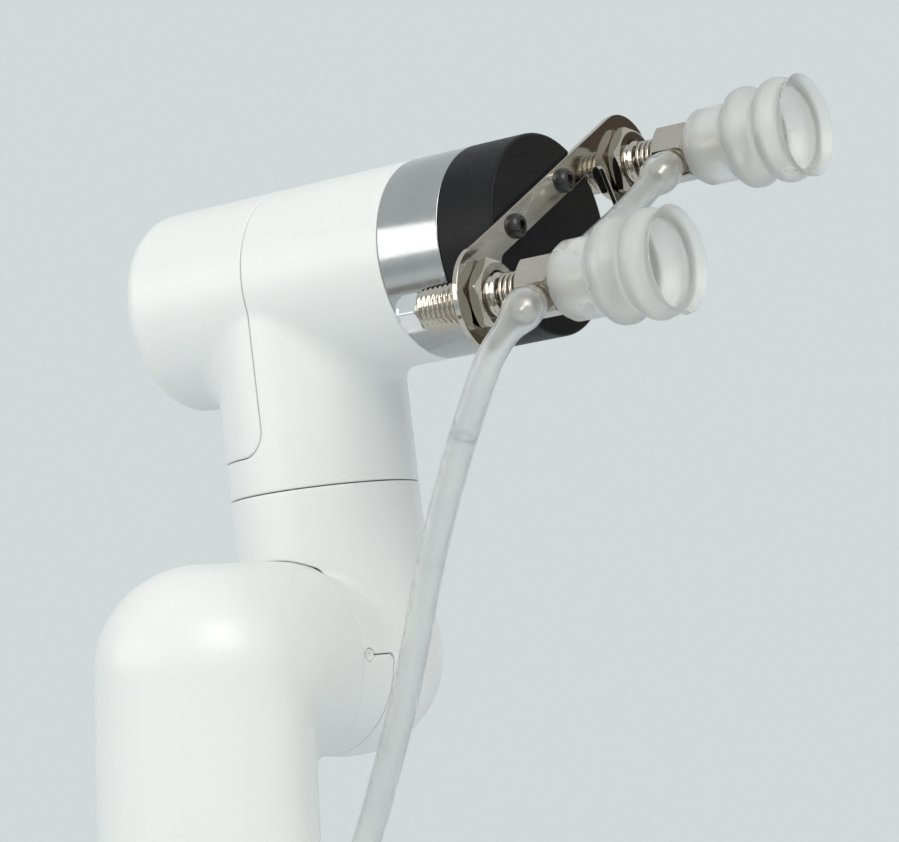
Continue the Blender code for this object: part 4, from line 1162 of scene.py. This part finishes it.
def cut(made, points, faces, place):
    """Cut a solid out of a piece."""
    cutter = piece("cutter", points, faces, place, None, SHELL, "white_shell")
    modifier = made.modifiers.new("cut", "BOOLEAN")
    modifier.operation = "DIFFERENCE"
    modifier.object = cutter
    bpy.context.view_layer.update()
    graph = bpy.context.evaluated_depsgraph_get()
    mesh = bpy.data.meshes.new_from_object(made.evaluated_get(graph))
    made.modifiers.remove(modifier)
    made.data = mesh
    bpy.data.objects.remove(cutter)
    mesh.shade_smooth()
    mesh.set_sharp_from_angle(angle=radians(30))


def box_plate(half_x, half_y, radius):
    """Rounded rectangle round the origin."""
    return rounded([(-half_x, -half_y, radius), (half_x, -half_y, radius), (half_x, half_y, radius),
                    (-half_x, half_y, radius)], 6)


def build_base():
    """Base plate, flared housing and the screws between them."""
    bolts = [circle(BOLT_CIRCLE * cos(a), BOLT_CIRCLE * sin(a), BOLT_HOLE)
             for a in (radians(45 + 90 * quarter) for quarter in range(4))]
    outline = circle(0, 0, PLATE_RADIUS, 160)
    even_shading(piece("base_plate_disc", *plate([outline] + bolts, 0, PLATE_HIGH, 0.6), BASE, "base",
                       BASE_METAL, "base_plate", ["base_plate"]))
    low, high = PLATE_HIGH + SEAM, BASE_HEIGHT - SEAM
    profile = rounded([
        (FOOT_RADIUS - WALL, low, 0.2), (FLANGE_RADIUS, low, 0.4), (FLANGE_RADIUS, FLANGE_HIGH, 1.6),
        (FOOT_RADIUS, FLANGE_HIGH, 3.5), (WAIST_RADIUS, WAIST_HEIGHT, 60), (TOP_RADIUS, high, 0.8),
        (TOP_RADIUS - WALL, high, 0.3), (WAIST_RADIUS - WALL, WAIST_HEIGHT, 60)], 8)
    made = piece("base_shell", *lathe(profile, 160), BASE, "base", SHELL, "white_shell",
                 ["base_housing"])
    middle = (PANEL_LOW + PANEL_HIGH) / 2
    facing_back = BASE @ Matrix.Translation((0, 0, middle)) @ Matrix.Rotation(-pi / 2, 4, "X")
    window = plate([box_plate(PANEL_HALF + SEAM, (PANEL_HIGH - PANEL_LOW) / 2 + SEAM, 2.3)],
                   PANEL_REAR - 10, PANEL_FACE + 10, 0.01)
    cut(made, *window, facing_back)
    for k, angle in enumerate(BASE_SCREW_ANGLES):
        place = BASE @ Matrix.Translation((BASE_SCREW_CIRCLE * cos(angle),
                                           BASE_SCREW_CIRCLE * sin(angle), 0))
        points, faces = cap_screw(3.4, FLANGE_HIGH + SEAM, 17, 3.0)
        piece("cap_screw_%d" % (k + 1), points, faces, place, "base", BLACK_STEEL, "black_steel",
              ["base_screw_%d" % (k + 1)], radians(30))
    build_panel(facing_back)


def cap_screw(head, seat, top, socket):
    """Cylinder-head cap screw with a hex socket, its shank hidden in the flange."""

    def outline(angle):
        hole = hex_radius(angle, socket, 0, 0.05)
        return [(0, top - 2), (hole, top - 2), (hole, top - 0.15), (hole + 0.15, top), (head - 0.4, top),
                (head - 0.1, top - 0.15), (head, top - 0.45), (head, seat + 0.1), (head - 0.1, seat),
                (1.4, seat), (1.4, seat - 3.5), (0, seat - 3.5)]

    return revolve(outline, 72)


def build_panel(place):
    """Connector panel with a power inlet and a signal port."""
    half = (PANEL_HIGH - PANEL_LOW) / 2
    inlet, port = circle(-11, 0, 6.0, 64), [(x + 11, y) for x, y in box_plate(8, 5, 1.2)]
    floor = PANEL_FACE - SOCKET_DEPTH
    even_shading(piece("panel_face", *plate([box_plate(PANEL_HALF, half, 2), inlet, port], floor,
                                            PANEL_FACE, 0.5),
                       place, "base", PANEL_PLASTIC, "black_adaptor", ["connector_panel"]))
    even_shading(piece("panel_back", *plate([box_plate(PANEL_HALF, half, 2)], PANEL_REAR, floor - 0.02,
                                            0.3), place, "base", PANEL_PLASTIC, "black_adaptor"))
    low, high = floor + SEAM, PANEL_FACE - 0.2
    barrel = rounded([(3.2, low, 0), (5.5, low, 0.1), (5.5, high, 0.5), (3.2, high, 0.5)])
    piece("inlet_barrel", *lathe(barrel, 64), place @ Matrix.Translation((-11, 0, 0)), "base", ZINC,
          "nickel", ["power_inlet"])
    pin = rounded([(0, low, 0), (1.0, low, 0.1), (1.0, high - 0.6, 0.5), (0, high - 0.6, 0)])
    piece("inlet_pin", *lathe(pin, 32), place @ Matrix.Translation((-11, 0, 0)), "base", NICKEL, "nickel")
    shell_outline, mouth = box_plate(7.5, 4.5, 0.9), box_plate(6, 3, 0.5)
    at_port = place @ Matrix.Translation((11, 0, 0))
    even_shading(piece("port_shell", *plate([shell_outline, mouth], low, high, 0.2), at_port, "base",
                       ZINC, "nickel", ["signal_port"]))
    even_shading(piece("port_tongue", *plate([box_plate(4.6, 0.9, 0.2)], low, high - 0.8, 0.1), at_port,
                       "base", PANEL_PLASTIC, "black_adaptor"))


def build_inner_finishes():
    """Materials of the CAD nodes that stay: motors, gearboxes, flanges and the control board."""
    finishes = {"motor": MOTOR, "gearbox": GEARBOX, "flange": ALUMINIUM, "board": BOARD}
    for name, made in frame["nodes"].items():
        kind = name.rsplit("_", 1)[-1]
        if kind in finishes and not made.hide_render:
            made.data.materials.clear()
            made.data.materials.append(finishes[kind])


def build_collar_plug():
    """Small white screw that closes the collar on the joint-4 stub."""
    place = WRIST_1 @ Matrix.Translation((PLUG_X, 0, COLLAR_RISE)) @ Matrix.Rotation(pi / 2, 4, "X")

    def outline(angle):
        slot = hex_radius(angle, 1.3, 0, 0.03)
        return [(0, 25.0), (slot, 25.0), (slot + 0.1, 25.5), (1.2, 25.75), (1.5, 25.7), (1.7, 25.4),
                (1.7, 24.0), (0.9, 24.0), (0.9, 21.5), (0, 21.5)]

    piece("collar_plug", *revolve(outline, 48), place, "wrist_1", SHELL, "white_shell", ["collar_screw"])


# ---------------------------------------------------------------- studio

CAMERA_PLACE = Vector((-0.6939, -0.6540, 0.5054))
CAMERA_FORWARD = Vector((0.77055, 0.63737, 0.00324))
CAMERA_ROLL = radians(-0.641)
CAMERA_VIEW_WIDTH = radians(13.946)
FLOOR_RADIUS = 3.2
SURROUND = (0.64, 0.69, 0.695, 1)
# Soft boxes as (name, direction from the wrist, distance, size, watts, colour), in metres
LIGHTS = (("key", (-0.34, -0.68, 0.65), 1.6, (1.2, 0.9), 12, (1, 0.94, 0.87)),
          ("side", (-0.81, 0.53, 0.25), 1.5, (1.5, 0.7), 6, (1, 0.96, 0.92)))
# Reflection cards as (name, place from the wrist, size, colour), in metres
CARDS = (("low_card", (-0.6, 0.2, -0.55), (0.8, 0.5), (0.3, 0.26, 0.22)),
         ("right_card", (1.0, -0.54, 0.18), (1.0, 1.3), (0.1, 0.075, 0.055)))


def build_camera():
    """Long lens from the front left, nearly level with the wrist."""
    data = bpy.data.cameras.new("camera")
    data.sensor_width = 36
    data.lens = data.sensor_width / 2 / tan(CAMERA_VIEW_WIDTH / 2)
    data.clip_start, data.clip_end = 0.05, 20
    camera = bpy.data.objects.new("camera", data)
    turn = CAMERA_FORWARD.to_track_quat("-Z", "Y").to_matrix().to_4x4()
    camera.matrix_world = Matrix.Translation(CAMERA_PLACE) @ turn @ Matrix.Rotation(CAMERA_ROLL, 4, "Z")
    bpy.context.scene.collection.objects.link(camera)
    bpy.context.scene.camera = camera


def area_light(name, place, target, size, power, colour):
    """One soft rectangular light that faces a point."""
    data = bpy.data.lights.new(name, "AREA")
    data.shape = "RECTANGLE"
    data.size, data.size_y = size
    data.energy = power
    data.color = colour
    light = bpy.data.objects.new(name, data)
    light.location = place
    light.rotation_euler = (target - place).to_track_quat("-Z", "Y").to_euler()
    bpy.context.scene.collection.objects.link(light)


def card(name, target, offset, size, colour):
    """Board that faces a point and only shows as a reflection in polished metal."""
    dull = new_material(name, Roughness=0.9, Base_Color=(*colour, 1))
    turn = (-offset).to_track_quat("Z", "Y").to_matrix().to_4x4()
    place = Matrix.Translation(target + offset) @ turn
    corners = [place @ Vector((x * size[0] / 2, y * size[1] / 2, 0))
               for x, y in ((-1, -1), (1, -1), (1, 1), (-1, 1))]
    mesh = bpy.data.meshes.new(name)
    mesh.from_pydata(corners, [], [(0, 1, 2, 3)])
    mesh.materials.append(dull)
    made = bpy.data.objects.new(name, mesh)
    made.visible_camera = made.visible_diffuse = made.visible_shadow = made.visible_transmission = False
    bpy.context.scene.collection.objects.link(made)


def build_studio():
    """Pale floor, an even pale surround, two soft boxes and two reflection cards."""
    pale = new_material("pale_floor", Roughness=0.9, Base_Color=(0.72, 0.75, 0.76, 1))
    floor = bpy.data.meshes.new("floor")
    floor.from_pydata([(x, y, 0) for x, y in circle(0, 0, FLOOR_RADIUS, 96)], [],
                      [list(range(96))])
    floor.materials.append(pale)
    made = bpy.data.objects.new("floor", floor)
    bpy.context.scene.collection.objects.link(made)
    world = bpy.data.worlds.new("studio")
    world.use_nodes = True
    world.node_tree.nodes["Background"].inputs["Color"].default_value = SURROUND
    world.node_tree.nodes["Background"].inputs["Strength"].default_value = 1.0
    bpy.context.scene.world = world
    bpy.context.scene.view_settings.view_transform = "Standard"
    target = pivot("wrist_turn")
    for name, direction, distance, size, power, colour in LIGHTS:
        area_light(name, target + Vector(direction) * distance, target, size, power, colour)
    for name, offset, size, colour in CARDS:
        card(name, target, Vector(offset), size, colour)


build_housings()
build_collar_plug()
build_ring()
build_bracket()
build_cups()
build_link_hose()
build_supply_hose()
build_base()
build_inner_finishes()
build_camera()
build_studio()
